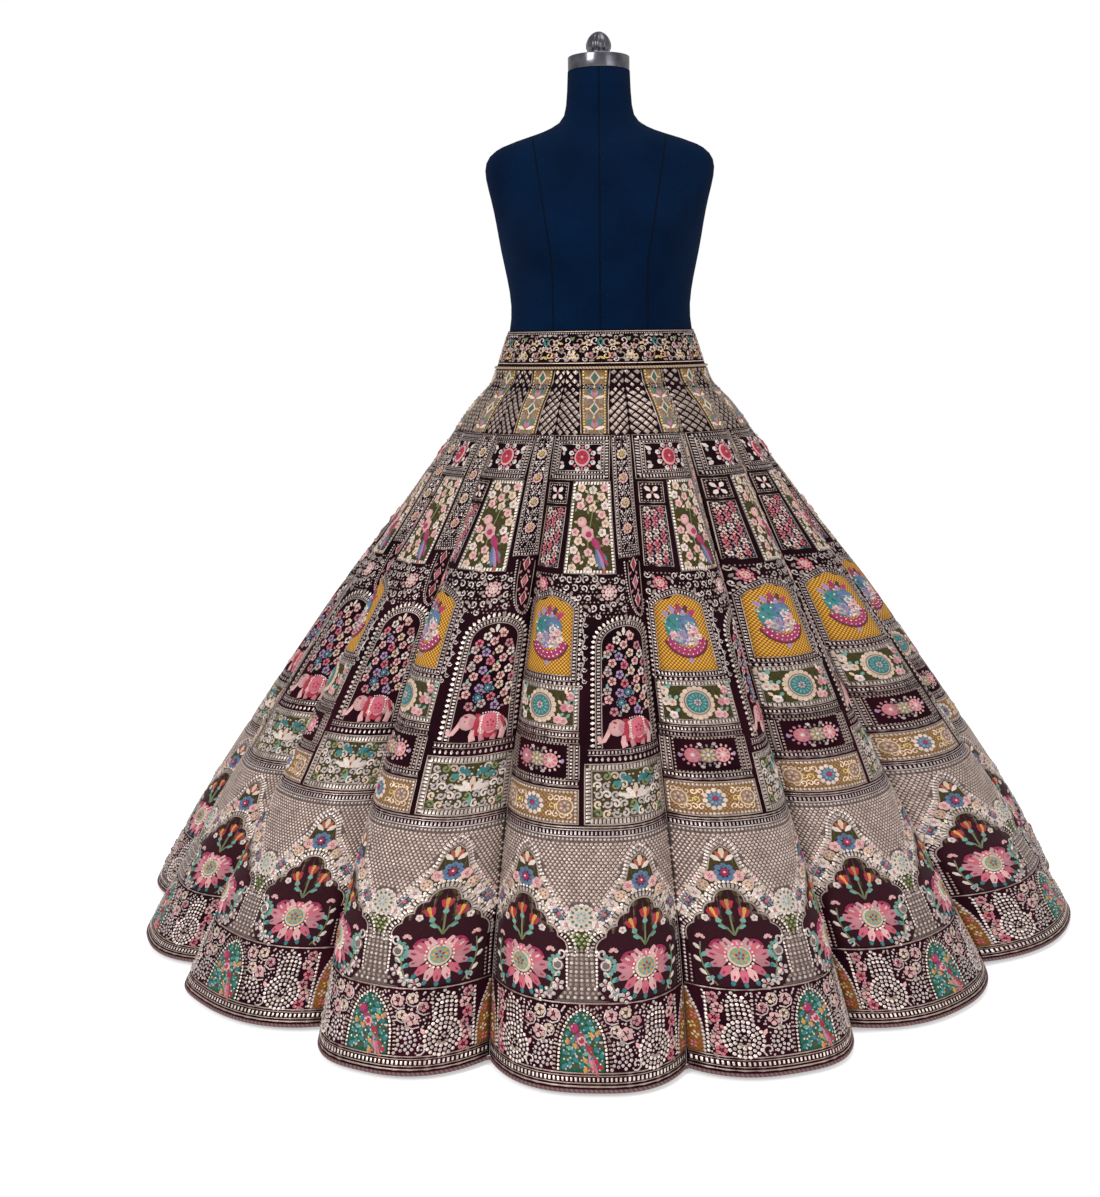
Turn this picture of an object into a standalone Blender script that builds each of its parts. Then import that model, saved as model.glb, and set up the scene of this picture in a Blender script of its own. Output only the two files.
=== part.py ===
"""A kalidar lehenga skirt standing on its limbless dress form.

The skirt is sixteen kalis (tapered gores) of velvet, a shaped waistband with a cord of
piping along its lower edge, and a rolled piping under the hem. The form is a padded torso
with a chrome neck cap and knob, on a pole with a round base plate.
Metres, +Z up, the front faces -Y, and the origin is on the floor under the pole.
"""

import math
from collections import namedtuple

import bmesh
import bpy

# ---------------------------------------------------------------- driving dimensions
SEAM_GAP = 0.0003  # between two pieces that are sewn together or seated on each other
VELVET = 0.002  # thickness of a kali's embroidered wall
BAND_WALL = 0.0025  # the waistband is folded double, so it is a little thicker
CLOTH_SLOPE = math.radians(35)  # how far the skirt leans away from the vertical

BAND_TOP = 0.945
BAND_BOTTOM = 0.884
BAND_TOP_HALF_WIDTH = 0.153
BAND_TOP_DEPTH_SHARE = 0.78
HEM_HEIGHT = 0.012

WAIST_PIPING_RADIUS = 0.002
HEM_PIPING_RADIUS = 0.0027

KALI_COLUMNS = 8  # flat facets across a kali
BAND_SIDES = 48  # flat facets round the waistband, its piping and the torso
TURNED_SIDES = 40  # flat facets round the turned pieces

FORM_CLEARANCE = 0.0005  # between the torso and the waistband round it
NECK_RADIUS = 0.0500
NECK_TOP = 1.353
CAP_HEIGHT = 0.022
KNOB_HEIGHT = 0.039
KNOB_RADIUS = 0.0245
TORSO_BOTTOM = 0.700
POLE_RADIUS = 0.016
BASE_RADIUS = 0.215
BASE_THICKNESS = 0.014
HUB_RADIUS = 0.034
HUB_HEIGHT = 0.050

# The hanging skirt's outline, a row for each level from the waistband down: its height, half
# its width, its depth as a share of the width, and how far the flutes have opened there.
Level = namedtuple("Level", "height half_width depth_share flute")
LEVELS = (
    Level(BAND_BOTTOM, 0.174, 0.80, 0.00),
    Level(0.861, 0.183, 0.81, 0.05),
    Level(0.830, 0.212, 0.83, 0.12),
    Level(0.770, 0.258, 0.87, 0.34),
    Level(0.660, 0.339, 0.91, 0.75),
    Level(0.540, 0.435, 0.94, 1.10),
    Level(0.420, 0.521, 0.96, 1.20),
    Level(0.280, 0.617, 0.98, 1.15),
    Level(0.150, 0.704, 0.99, 1.07),
    Level(HEM_HEIGHT, 0.786, 0.99, 1.00),
)

# The seams between kalis, each in the valley between two flutes: the angle from the front
# (degrees, + towards +X) at the waist, at two heights on the way down and at the hem, and the
# seam's distance from the axis at the hem as a share of the outline there.
Seam = namedtuple("Seam", "waist upper lower hem valley")
SEAM_UPPER_HEIGHT = 0.700
SEAM_LOWER_HEIGHT = 0.400
FRONT_SEAMS = (
    Seam(-92.0, -85.8, -79.2, -77.0, 0.915),
    Seam(-69.0, -63.8, -58.1, -56.2, 0.920),
    Seam(-45.0, -42.2, -37.9, -32.6, 0.910),
    Seam(-18.5, -16.8, -15.0, -12.4, 0.900),
    Seam(12.0, 9.8, 8.9, 8.3, 0.915),
    Seam(34.0, 31.6, 29.5, 28.8, 0.870),
    Seam(60.0, 56.1, 53.4, 55.0, 0.870),
    Seam(82.0, 78.4, 76.9, 83.0, 0.895),
)
BACK_VALLEYS = (0.905, 0.890, 0.910, 0.895, 0.915, 0.890, 0.905, 0.900)

# The flutes, one to a kali: the crest's share of the outline at the hem, where the crest lies
# from the left seam (0) to the right seam (1), and how square its shoulders are.
Flute = namedtuple("Flute", "crest lean squareness")
FRONT_FLUTES = (
    Flute(1.000, 0.50, 2.6),
    Flute(1.000, 0.32, 2.8),
    Flute(1.005, 0.40, 2.8),
    Flute(0.990, 0.56, 3.0),
    Flute(0.973, 0.52, 3.0),
    Flute(0.936, 0.50, 2.4),
    Flute(0.990, 0.74, 2.2),
)
BACK_FLUTES = (
    Flute(1.000, 0.52, 2.6),
    Flute(0.985, 0.46, 3.0),
    Flute(1.003, 0.55, 2.5),
    Flute(0.990, 0.48, 2.9),
    Flute(0.998, 0.53, 2.6),
    Flute(0.982, 0.45, 3.0),
    Flute(1.000, 0.55, 2.6),
    Flute(0.990, 0.50, 2.8),
    Flute(1.002, 0.47, 2.5),
)

# The bare form above and below the waistband, a row for each ring of it: height, half width,
# half depth, how far the ring is set towards the front, and how full the bust is there.
Ring = namedtuple("Ring", "height half_width half_depth forward bust")
TORSO_BELOW_BAND = (
    Ring(TORSO_BOTTOM, 0.150, 0.118, 0.000, 0.0),
    Ring(0.730, 0.166, 0.131, 0.000, 0.0),
    Ring(0.790, 0.176, 0.138, 0.000, 0.0),
    Ring(0.850, 0.173, 0.138, 0.000, 0.0),
)
TORSO_ABOVE_BAND = (
    Ring(0.985, 0.146, 0.112, 0.002, 0.0),
    Ring(1.030, 0.153, 0.117, 0.006, 0.4),
    Ring(1.075, 0.163, 0.122, 0.008, 1.0),
    Ring(1.115, 0.169, 0.121, 0.006, 0.7),
    Ring(1.155, 0.177, 0.115, 0.002, 0.2),
    Ring(1.190, 0.187, 0.107, 0.000, 0.0),
    Ring(1.215, 0.187, 0.096, 0.000, 0.0),
    Ring(1.233, 0.172, 0.085, 0.000, 0.0),
    Ring(1.247, 0.136, 0.074, 0.000, 0.0),
    Ring(1.260, 0.090, 0.064, 0.000, 0.0),
    Ring(1.275, 0.0600, 0.0550, 0.000, 0.0),
    Ring(1.295, 0.0525, 0.0515, 0.000, 0.0),
    Ring(NECK_TOP, NECK_RADIUS, NECK_RADIUS, 0.000, 0.0),
)
BUST_RISE = 0.024
BUST_ANGLE = math.radians(33)
BUST_SPREAD = math.radians(24)

# Surface finishes: base colour, roughness and metallic value.
Finish = namedtuple("Finish", "colour roughness metallic")
EMBROIDERED_VELVET = Finish((0.115, 0.018, 0.035), 0.75, 0.0)
BAND_EMBROIDERY = Finish((0.380, 0.290, 0.230), 0.60, 0.2)
CREAM_CORD = Finish((0.550, 0.440, 0.330), 0.60, 0.1)
HEM_CORD = Finish((0.330, 0.130, 0.140), 0.65, 0.0)
NAVY_JERSEY = Finish((0.012, 0.025, 0.045), 0.85, 0.0)
CHROME = Finish((0.760, 0.760, 0.780), 0.15, 1.0)
BLACK_ENAMEL = Finish((0.020, 0.020, 0.022), 0.40, 0.0)


# ---------------------------------------------------------------- helpers
def clear_scene():
    for old in list(bpy.data.objects):
        bpy.data.objects.remove(old, do_unlink=True)


def material(name, finish):
    made = bpy.data.materials.new(name)
    made.use_nodes = True
    shader = made.node_tree.nodes["Principled BSDF"]
    shader.inputs["Base Color"].default_value = (*finish.colour, 1.0)
    shader.inputs["Roughness"].default_value = finish.roughness
    shader.inputs["Metallic"].default_value = finish.metallic
    made.diffuse_color = (*finish.colour, 1.0)
    return made


def new_object(name, shape, finish, smooth_angle=math.radians(40)):
    """Links a bmesh as a named object with a material of its own."""
    bmesh.ops.recalc_face_normals(shape, faces=shape.faces)
    mesh = bpy.data.meshes.new(name)
    shape.to_mesh(mesh)
    shape.free()
    mesh.shade_smooth()
    mesh.set_sharp_from_angle(angle=smooth_angle)
    made = bpy.data.objects.new(name, mesh)
    made.data.materials.append(material(name, finish))
    bpy.context.scene.collection.objects.link(made)
    return made


def grid_solid(outside, inside):
    """A closed wall between two grids of points of the same size, as rows of columns."""
    shape = bmesh.new()
    outer = [[shape.verts.new(point) for point in row] for row in outside]
    inner = [[shape.verts.new(point) for point in row] for row in inside]
    rows, columns = len(outer) - 1, len(outer[0]) - 1
    for r in range(rows):
        for c in range(columns):
            shape.faces.new((outer[r][c], outer[r + 1][c], outer[r + 1][c + 1], outer[r][c + 1]))
            shape.faces.new((inner[r][c], inner[r][c + 1], inner[r + 1][c + 1], inner[r + 1][c]))
    for c in range(columns):
        shape.faces.new((outer[0][c], outer[0][c + 1], inner[0][c + 1], inner[0][c]))
        shape.faces.new((outer[-1][c], inner[-1][c], inner[-1][c + 1], outer[-1][c + 1]))
    for r in range(rows):
        shape.faces.new((outer[r][0], inner[r][0], inner[r + 1][0], outer[r + 1][0]))
        shape.faces.new((outer[r][-1], outer[r + 1][-1], inner[r + 1][-1], inner[r][-1]))
    bmesh.ops.triangulate(shape, faces=shape.faces, quad_method="SHORT_EDGE")
    return shape


def bridged(rings, closed_loop=False):
    """Bridges rings of points in order: with flat end faces, or round into a closed loop."""
    shape = bmesh.new()
    loops = [[shape.verts.new(point) for point in ring] for ring in rings]
    pairs = list(zip(loops, loops[1:]))
    if closed_loop:
        pairs.append((loops[-1], loops[0]))
    for one, other in pairs:
        for i in range(len(one)):
            j = (i + 1) % len(one)
            shape.faces.new((one[i], one[j], other[j], other[i]))
    if not closed_loop:
        shape.faces.new(loops[0])
        shape.faces.new(loops[-1])
    bmesh.ops.triangulate(shape, faces=shape.faces)
    return shape


def turned(name, profile, finish):
    """A turned piece: rows of (radius, height), spun about the Z axis and closed at its ends."""
    shape = bmesh.new()
    line = [shape.verts.new((radius, 0.0, height)) for radius, height in profile]
    edges = [shape.edges.new(pair) for pair in zip(line, line[1:])]
    bmesh.ops.spin(
        shape,
        geom=line + edges,
        cent=(0, 0, 0),
        axis=(0, 0, 1),
        angle=math.tau,
        steps=TURNED_SIDES,
        use_merge=True,
        use_duplicate=False,
    )
    bmesh.ops.remove_doubles(shape, verts=shape.verts, dist=1e-6)
    bmesh.ops.holes_fill(shape, edges=shape.edges, sides=TURNED_SIDES)
    bmesh.ops.triangulate(shape, faces=shape.faces)
    return new_object(name, shape, finish)


def ellipse(half_width, half_depth, height, sides, outward=0.0):
    """A level ring of points, moved outward from the ellipse by the given distance."""
    ring = []
    for i in range(sides):
        angle = math.tau * i / sides
        x, y = half_width * math.sin(angle), -half_depth * math.cos(angle)
        across, along = half_depth * math.sin(angle), -half_width * math.cos(angle)
        size = math.hypot(across, along)
        ring.append((x + outward * across / size, y + outward * along / size, height))
    return ring


# ---------------------------------------------------------------- the hanging cloth
def all_seams():
    """The eight front seams, then eight more at equal steps round the back."""
    first, last = FRONT_SEAMS[-1], FRONT_SEAMS[0]
    back = []
    for i, valley in enumerate(BACK_VALLEYS, start=1):
        share = i / (len(BACK_VALLEYS) + 1)
        angles = [
            getattr(first, at) + share * (getattr(last, at) + 360.0 - getattr(first, at))
            for at in ("waist", "upper", "lower", "hem")
        ]
        back.append(Seam(*angles, valley))
    closing = Seam(*(angle + 360.0 for angle in last[:-1]), last.valley)
    return (*FRONT_SEAMS, *back, closing)


def seam_angle(seam, height):
    """The seam's angle in radians, on the cubic through its four given heights."""
    knots = (
        (BAND_BOTTOM, seam.waist),
        (SEAM_UPPER_HEIGHT, seam.upper),
        (SEAM_LOWER_HEIGHT, seam.lower),
        (HEM_HEIGHT, seam.hem),
    )
    degrees = 0.0
    for at, angle in knots:
        others = [other for other, _ in knots if other != at]
        degrees += angle * math.prod((height - other) / (at - other) for other in others)
    return math.radians(degrees)


def skirt_point(left, right, flute, across, level, gap=SEAM_GAP):
    """A point (x, y) of the cloth's face, across from 0 at the left seam to 1 at the right."""
    trim = gap / 2 / level.half_width
    start = seam_angle(left, level.height) + trim
    end = seam_angle(right, level.height) - trim
    angle = start + (end - start) * across
    side = flute.lean if across < flute.lean else 1 - flute.lean
    valley = left.valley + (right.valley - left.valley) * across
    rise = 1 - abs((across - flute.lean) / side) ** flute.squareness
    share = 1 + level.flute * (valley + (flute.crest - valley) * rise - 1)
    radius = level.half_width * share
    return radius * math.sin(angle), -radius * level.depth_share * math.cos(angle)


def section(left, right, flute, level, inward):
    """A row of points across a kali, set inward from its face in the level plane."""
    nudge = 1e-4
    row = []
    for column in range(KALI_COLUMNS + 1):
        across = (1 - math.cos(math.pi * column / KALI_COLUMNS)) / 2
        x, y = skirt_point(left, right, flute, across, level)
        before = skirt_point(left, right, flute, max(across - nudge, 0.0), level)
        after = skirt_point(left, right, flute, min(across + nudge, 1.0), level)
        along_x, along_y = after[0] - before[0], after[1] - before[1]
        size = math.hypot(along_x, along_y)
        row.append((x - inward * along_y / size, y + inward * along_x / size, level.height))
    return row


def lowered(level, drop):
    return level._replace(height=level.height - drop)


def make_kalis(seams, flutes):
    levels = (lowered(LEVELS[0], SEAM_GAP), *LEVELS[1:])
    wall = VELVET / math.cos(CLOTH_SLOPE)
    for number, flute in enumerate(flutes):
        left, right = seams[number], seams[number + 1]
        outside = [section(left, right, flute, level, 0.0) for level in levels]
        inside = [section(left, right, flute, level, wall) for level in levels]
        new_object(f"kali_{number + 1:02d}", grid_solid(outside, inside), EMBROIDERED_VELVET)


def make_hem_piping(seams, flutes):
    """A rolled cord under the middle of the kalis' lower edges, in and out with the flutes."""
    hem = LEVELS[-1]
    inward = VELVET / math.cos(CLOTH_SLOPE) / 2
    path = []
    for number, flute in enumerate(flutes):
        left, right = seams[number], seams[number + 1]
        for column in range(KALI_COLUMNS):
            across = (1 - math.cos(math.pi * column / KALI_COLUMNS)) / 2
            path.append(skirt_point(left, right, flute, across, hem, gap=0.0))
    centre = hem.height - SEAM_GAP - HEM_PIPING_RADIUS
    rings = []
    for i, (x, y) in enumerate(path):
        before, after = path[i - 1], path[(i + 1) % len(path)]
        along_x, along_y = after[0] - before[0], after[1] - before[1]
        size = math.hypot(along_x, along_y)
        out_x, out_y = along_y / size, -along_x / size
        ring = []
        for reach, rise in ((1, 0), (0, 1), (-1, 0), (0, -1)):
            offset = reach * HEM_PIPING_RADIUS - inward
            ring.append((x + out_x * offset, y + out_y * offset, centre + rise * HEM_PIPING_RADIUS))
        rings.append(ring)
    new_object("hem_piping", bridged(rings, closed_loop=True), HEM_CORD)


def band_ring(height, outward):
    """The waistband's level outline at a height, moved outward from its face."""
    up = (height - BAND_BOTTOM) / (BAND_TOP - BAND_BOTTOM)
    bottom = LEVELS[0]
    half_width = bottom.half_width + up * (BAND_TOP_HALF_WIDTH - bottom.half_width)
    share = bottom.depth_share + up * (BAND_TOP_DEPTH_SHARE - bottom.depth_share)
    return ellipse(half_width, half_width * share, height, BAND_SIDES, outward)


def make_waistband():
    middle = (BAND_BOTTOM + BAND_TOP) / 2
    heights = (BAND_BOTTOM, middle, BAND_TOP)
    outside = [band_ring(height, 0.0) for height in heights]
    inside = [band_ring(height, -BAND_WALL) for height in reversed(heights)]
    new_object("waistband", bridged(outside + inside, closed_loop=True), BAND_EMBROIDERY)


def make_waist_piping():
    """A cord of piping sewn on the waistband's face, just above its lower edge."""
    centre = BAND_BOTTOM + SEAM_GAP + WAIST_PIPING_RADIUS
    reach = SEAM_GAP + WAIST_PIPING_RADIUS
    corners = ((0, 1), (1, 0), (0, -1), (-1, 0))
    rings = [
        band_ring(centre + rise * WAIST_PIPING_RADIUS, reach + out * WAIST_PIPING_RADIUS)
        for out, rise in corners
    ]
    new_object("waist_piping", bridged(rings, closed_loop=True), CREAM_CORD)


# ---------------------------------------------------------------- the dress form
def torso_ring(ring):
    """An oval ring of the torso, fuller to each side of the front where the bust is."""
    points = []
    for x, y, z in ellipse(ring.half_width, ring.half_depth, ring.height, BAND_SIDES):
        angle = math.atan2(x / ring.half_width, -y / ring.half_depth)
        rise = sum(
            math.exp(-(((angle - side * BUST_ANGLE) / BUST_SPREAD) ** 2)) for side in (-1, 1)
        )
        points.append((x, y - ring.forward - ring.bust * BUST_RISE * rise, z))
    return points


def make_torso():
    inset = BAND_WALL + FORM_CLEARANCE
    middle = (BAND_BOTTOM + BAND_TOP) / 2
    rings = [torso_ring(ring) for ring in TORSO_BELOW_BAND]
    rings += [band_ring(height, -inset) for height in (BAND_BOTTOM, middle, BAND_TOP)]
    rings += [torso_ring(ring) for ring in TORSO_ABOVE_BAND]
    new_object("form_torso", bridged(rings), NAVY_JERSEY)


def make_neck_cap():
    bottom, rim = NECK_TOP + SEAM_GAP, 0.004
    top = bottom + CAP_HEIGHT
    radius = NECK_RADIUS - 0.0005
    profile = (
        (radius - 0.001, bottom),
        (radius, bottom + 0.001),
        (radius, top - rim),
        (radius - 0.002, top - 0.001),
        (radius - rim, top),
    )
    turned("form_neck_cap", profile, CHROME)


def make_knob():
    bottom = NECK_TOP + CAP_HEIGHT + 2 * SEAM_GAP
    collar = ((1.00, 0.00), (1.00, 0.07), (0.74, 0.14))
    egg = ((0.86, 0.34), (0.83, 0.54), (0.66, 0.76), (0.42, 0.91), (0.16, 1.00))
    profile = [(KNOB_RADIUS * out, bottom + KNOB_HEIGHT * up) for out, up in (*collar, *egg)]
    turned("form_knob", profile, CHROME)


def make_stand():
    hub_top = BASE_THICKNESS + HUB_HEIGHT
    bevel = 0.003
    base = (
        (BASE_RADIUS, 0.0),
        (BASE_RADIUS, BASE_THICKNESS - bevel),
        (BASE_RADIUS - bevel, BASE_THICKNESS),
        (HUB_RADIUS, BASE_THICKNESS),
        (HUB_RADIUS - bevel, hub_top),
    )
    turned("form_base", base, BLACK_ENAMEL)
    pole = ((POLE_RADIUS, hub_top + SEAM_GAP), (POLE_RADIUS, TORSO_BOTTOM - SEAM_GAP))
    turned("form_pole", pole, CHROME)


def main():
    clear_scene()
    seams = all_seams()
    flutes = (*FRONT_FLUTES, *BACK_FLUTES)
    make_kalis(seams, flutes)
    make_hem_piping(seams, flutes)
    make_waistband()
    make_waist_piping()
    make_torso()
    make_neck_cap()
    make_knob()
    make_stand()


main()
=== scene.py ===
# %% [markdown]
# A bridal lehenga skirt stands on a limbless dress form. Sixteen velvet kalis, each a tall flared panel,
# are sewn edge to edge under a folded waistband and covered with zari cord, beads and silk petals.
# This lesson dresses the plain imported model: the cloth, then the needlework on it, then the stand.

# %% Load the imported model
from collections import namedtuple
from math import atan2, cos, hypot, pi, radians, sin, sqrt, tau

import bpy
import numpy as np
from mathutils import Matrix, Vector
from numpy import arange, array, interp, linspace
from numpy.linalg import norm


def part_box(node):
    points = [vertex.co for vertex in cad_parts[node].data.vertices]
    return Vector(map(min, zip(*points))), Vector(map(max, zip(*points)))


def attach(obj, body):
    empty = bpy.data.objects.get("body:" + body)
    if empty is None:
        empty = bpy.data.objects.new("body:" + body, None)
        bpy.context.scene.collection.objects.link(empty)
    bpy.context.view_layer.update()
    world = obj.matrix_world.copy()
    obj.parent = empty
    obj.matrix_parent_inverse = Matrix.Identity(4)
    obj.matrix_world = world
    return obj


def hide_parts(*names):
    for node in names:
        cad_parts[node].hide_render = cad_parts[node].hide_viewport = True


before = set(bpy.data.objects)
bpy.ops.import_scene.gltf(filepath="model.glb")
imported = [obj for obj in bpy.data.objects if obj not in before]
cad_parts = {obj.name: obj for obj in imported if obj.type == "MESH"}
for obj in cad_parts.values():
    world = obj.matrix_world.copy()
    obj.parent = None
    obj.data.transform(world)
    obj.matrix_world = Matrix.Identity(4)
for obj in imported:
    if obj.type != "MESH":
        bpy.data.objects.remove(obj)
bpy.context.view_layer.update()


def abreast(*columns):
    return np.stack(columns, -1)


def chain(*parts):
    return np.concatenate(parts)


def new_object(name, data):
    made = bpy.data.objects.new(name, data)
    bpy.context.scene.collection.objects.link(made)
    return made


def deselect_all():
    bpy.ops.object.select_all(action="DESELECT")


deselect_all()
print("packed pieces:", len(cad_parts))

# %% [markdown]
# The kalis follow one rule: a row of levels gives the skirt's width at each height, and each kali swells
# outward between its seams like a flute. It is restated here, in metres, because the finer cloth has to
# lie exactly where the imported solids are.

# %% The skirt's shape
BAND_TOP, BAND_BOTTOM, HEM_HEIGHT = 0.945, 0.884, 0.012
BAND_TOP_HALF_WIDTH, BAND_TOP_DEPTH_SHARE = 0.153, 0.78
WAIST_HALF_WIDTH, WAIST_DEPTH_SHARE = 0.174, 0.80
SEAM_GAP, VELVET, BAND_WALL = 0.0003, 0.002, 0.0025
SEAM_HEIGHTS = (BAND_BOTTOM, 0.700, 0.400, HEM_HEIGHT)
# height, half width, depth share, depth of the flutes
LEVELS = array((
    (BAND_BOTTOM, WAIST_HALF_WIDTH, WAIST_DEPTH_SHARE, 0.00),
    (0.861, 0.183, 0.81, 0.05), (0.830, 0.212, 0.83, 0.12),
    (0.770, 0.258, 0.87, 0.34), (0.660, 0.339, 0.91, 0.75), (0.540, 0.435, 0.94, 1.10),
    (0.420, 0.521, 0.96, 1.20), (0.280, 0.617, 0.98, 1.15), (0.150, 0.704, 0.99, 1.07),
    (HEM_HEIGHT, 0.786, 0.99, 1.00),
))[::-1]
# angle at each of the seam heights, in degrees, and how deep the seam lies
FRONT_SEAMS = (
    (-92, -85.8, -79.2, -77, 0.915), (-69, -63.8, -58.1, -56.2, 0.920),
    (-45, -42.2, -37.9, -32.6, 0.910), (-18.5, -16.8, -15.0, -12.4, 0.900),
    (12, 9.8, 8.9, 8.3, 0.915), (34, 31.6, 29.5, 28.8, 0.870),
    (60, 56.1, 53.4, 55, 0.870), (82, 78.4, 76.9, 83, 0.895),
)
BACK_VALLEYS = (0.905, 0.890, 0.910, 0.895, 0.915, 0.890, 0.905, 0.900)
# crest, lean and squareness of each flute
FLUTES = (
    (1.000, 0.50, 2.6), (1.000, 0.32, 2.8), (1.005, 0.40, 2.8), (0.990, 0.56, 3.0),
    (0.973, 0.52, 3.0), (0.936, 0.50, 2.4), (0.990, 0.74, 2.2), (1.000, 0.52, 2.6),
    (0.985, 0.46, 3.0), (1.003, 0.55, 2.5), (0.990, 0.48, 2.9), (0.998, 0.53, 2.6),
    (0.982, 0.45, 3.0), (1.000, 0.55, 2.6), (0.990, 0.50, 2.8), (1.002, 0.47, 2.5),
)


def all_seams():
    seams = [array(seam, float) for seam in FRONT_SEAMS]
    first, last = seams[0], seams[-1]
    for step, valley in enumerate(BACK_VALLEYS, 1):
        share = step / 9
        angles = last[:4] + share * (first[:4] + 360 - last[:4])
        seams.append(array((*angles, valley)))
    seams.append(array((*(first[:4] + 360), first[4])))
    return seams


SEAMS = all_seams()
print("kalis:", len(SEAMS) - 1)


# %% A smooth curve through a row of values
def smooth_row(at, xs, ys):
    """A cubic through the values, with the slopes between their neighbours."""
    slopes = np.gradient(ys, xs)
    i = np.clip(np.searchsorted(xs, at) - 1, 0, len(xs) - 2)
    step = xs[i + 1] - xs[i]
    t = (at - xs[i]) / step
    rise = (3 * t**2 - 2 * t**3) * (ys[i + 1] - ys[i])
    bend = (t**3 - 2 * t**2 + t) * slopes[i] + (t**3 - t**2) * slopes[i + 1]
    return ys[i] + rise + bend * step


def seam_angle(seam, height):
    """The cubic through a seam's four angles, in radians."""
    angle = 0.0
    for own, own_angle in zip(SEAM_HEIGHTS, seam[:4]):
        share = 1.0
        for other in SEAM_HEIGHTS:
            if other != own:
                share = share * (height - other) / (own - other)
        angle = angle + own_angle * share
    return np.radians(angle)


def skirt_point(number, across, height):
    """Places on a kali's face. across is 0 at its left seam and 1 at its right."""
    half_width, depth_share, flute = (smooth_row(height, LEVELS[:, 0], LEVELS[:, k]) for k in (1, 2, 3))
    left, right = SEAMS[number], SEAMS[number + 1]
    crest, lean, squareness = FLUTES[number]
    trim = SEAM_GAP / 2 / half_width
    start = seam_angle(left, height) + trim
    end = seam_angle(right, height) - trim
    angle = start + (end - start) * across
    side = np.where(across < lean, lean, 1 - lean)
    valley = left[4] + (right[4] - left[4]) * across
    rise = 1 - np.abs((across - lean) / side) ** squareness
    reach = half_width * (1 + flute * (valley + (crest - valley) * rise - 1))
    return np.stack(np.broadcast_arrays(
        reach * np.sin(angle), -reach * depth_share * np.cos(angle), height), -1)


# %% [markdown]
# A pattern cutter thinks of a kali as flat. Each gets a chart: how far down the slant a place lies, and
# how far across, from -1 at the left seam to +1 at the right. The cloth and every bead read one fine
# table of places and outward directions, so the needlework always sits on the cloth, creases and all.

# %% The chart of each kali
CHART_ROWS, CHART_COLUMNS = 217, 97
_heights = linspace(BAND_BOTTOM - SEAM_GAP, HEM_HEIGHT, 600)
_reach = smooth_row(_heights, LEVELS[:, 0], LEVELS[:, 1]) * smooth_row(_heights, LEVELS[:, 0], LEVELS[:, 2])
_slant = chain([0], np.cumsum(np.hypot(np.diff(_heights), np.diff(_reach))))
KALI_LENGTH = float(_slant[-1])
# slant in mm, place across, lean across per metre down, half width in mm, half length in mm, depth in mm
CREASES = (
    ((330, -0.45, 0.5, 26, 170, 2.2), (640, 0.50, -0.4, 34, 190, -2.4), (930, -0.30, 0.3, 38, 120, 2.0)),
    ((300, 0.40, -0.6, 24, 150, 2.0), (560, -0.42, 0.5, 30, 180, 2.4), (880, 0.35, 0.5, 36, 150, -2.2)),
    ((420, -0.38, 0.4, 28, 170, -2.0), (700, 0.46, -0.5, 32, 170, 2.6), (960, -0.48, 0.2, 34, 110, 2.2)),
    ((380, 0.48, 0.3, 26, 160, 2.0), (620, -0.52, -0.3, 30, 160, -1.8), (900, 0.10, 0.4, 40, 140, -1.8)),
    ((310, -0.35, 0.6, 24, 160, 2.2), (600, 0.42, 0.4, 32, 170, 2.2), (890, -0.46, -0.4, 36, 140, -2.2)),
)


def unit(way):
    return way / norm(way, axis=-1, keepdims=True)


def distance_along(path):
    """How far along a path its points lie."""
    return chain([0], np.cumsum(norm(np.diff(path, axis=0), axis=1)))


def outward_of(places):
    return unit(np.cross(np.gradient(places, axis=1), -np.gradient(places, axis=0)))


def chart_of(number):
    """Places in metres and outward directions, at even steps down the slant and across."""
    down = linspace(0, KALI_LENGTH, CHART_ROWS)
    heights = interp(down, _slant, _heights)
    fine = linspace(0, 1, 289)
    rough = skirt_point(number, fine[None, :], heights[:, None])
    places = np.empty((CHART_ROWS, CHART_COLUMNS, 3))
    widths = np.empty(CHART_ROWS)
    for row in range(CHART_ROWS):
        along = distance_along(rough[row])
        widths[row] = along[-1]
        even = linspace(0, along[-1], CHART_COLUMNS)
        for axis in range(3):
            places[row, :, axis] = interp(even, along, rough[row, :, axis])
    across = linspace(-1, 1, CHART_COLUMNS)[None, :]
    millimetres = down[:, None] * 1000
    press = np.zeros((CHART_ROWS, CHART_COLUMNS))
    for at, place, lean, half_width, half_length, depth in CREASES[number % len(CREASES)]:
        centre = place + lean * (millimetres - at) / 1000
        side = (across - centre) * widths[:, None] * 500 / half_width
        press -= depth * np.exp(-side**2 - ((millimetres - at) / half_length) ** 2)
    fade = np.clip(millimetres / 150, 0, 1) * np.clip((KALI_LENGTH * 1000 - millimetres) / 40, 0, 1)
    press *= (1 - across**4) * fade
    outward = outward_of(places)
    places = places + outward * press[..., None] / 1000
    return places, outward_of(places), widths


CHARTS = [chart_of(number) for number in range(16)]
print("slant length of a kali, mm:", round(KALI_LENGTH * 1000))
print("hem widths, mm:", [round(chart[2][-1] * 1000) for chart in CHARTS])


# %% Turn arrays into a mesh
def mesh_piece(name, points, faces):
    """An object from arrays of points and of faces, all with as many corners."""
    mesh = bpy.data.meshes.new(name)
    mesh.vertices.add(len(points))
    mesh.vertices.foreach_set("co", np.ascontiguousarray(points, np.float32).ravel())
    mesh.loops.add(faces.size)
    mesh.loops.foreach_set("vertex_index", np.ascontiguousarray(faces, np.int32).ravel())
    mesh.polygons.add(len(faces))
    starts = arange(len(faces), dtype=np.int32) * faces.shape[1]
    mesh.polygons.foreach_set("loop_start", starts)
    mesh.update(calc_edges=True)
    mesh.validate()
    mesh.shade_smooth()
    return new_object(name, mesh)


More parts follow.
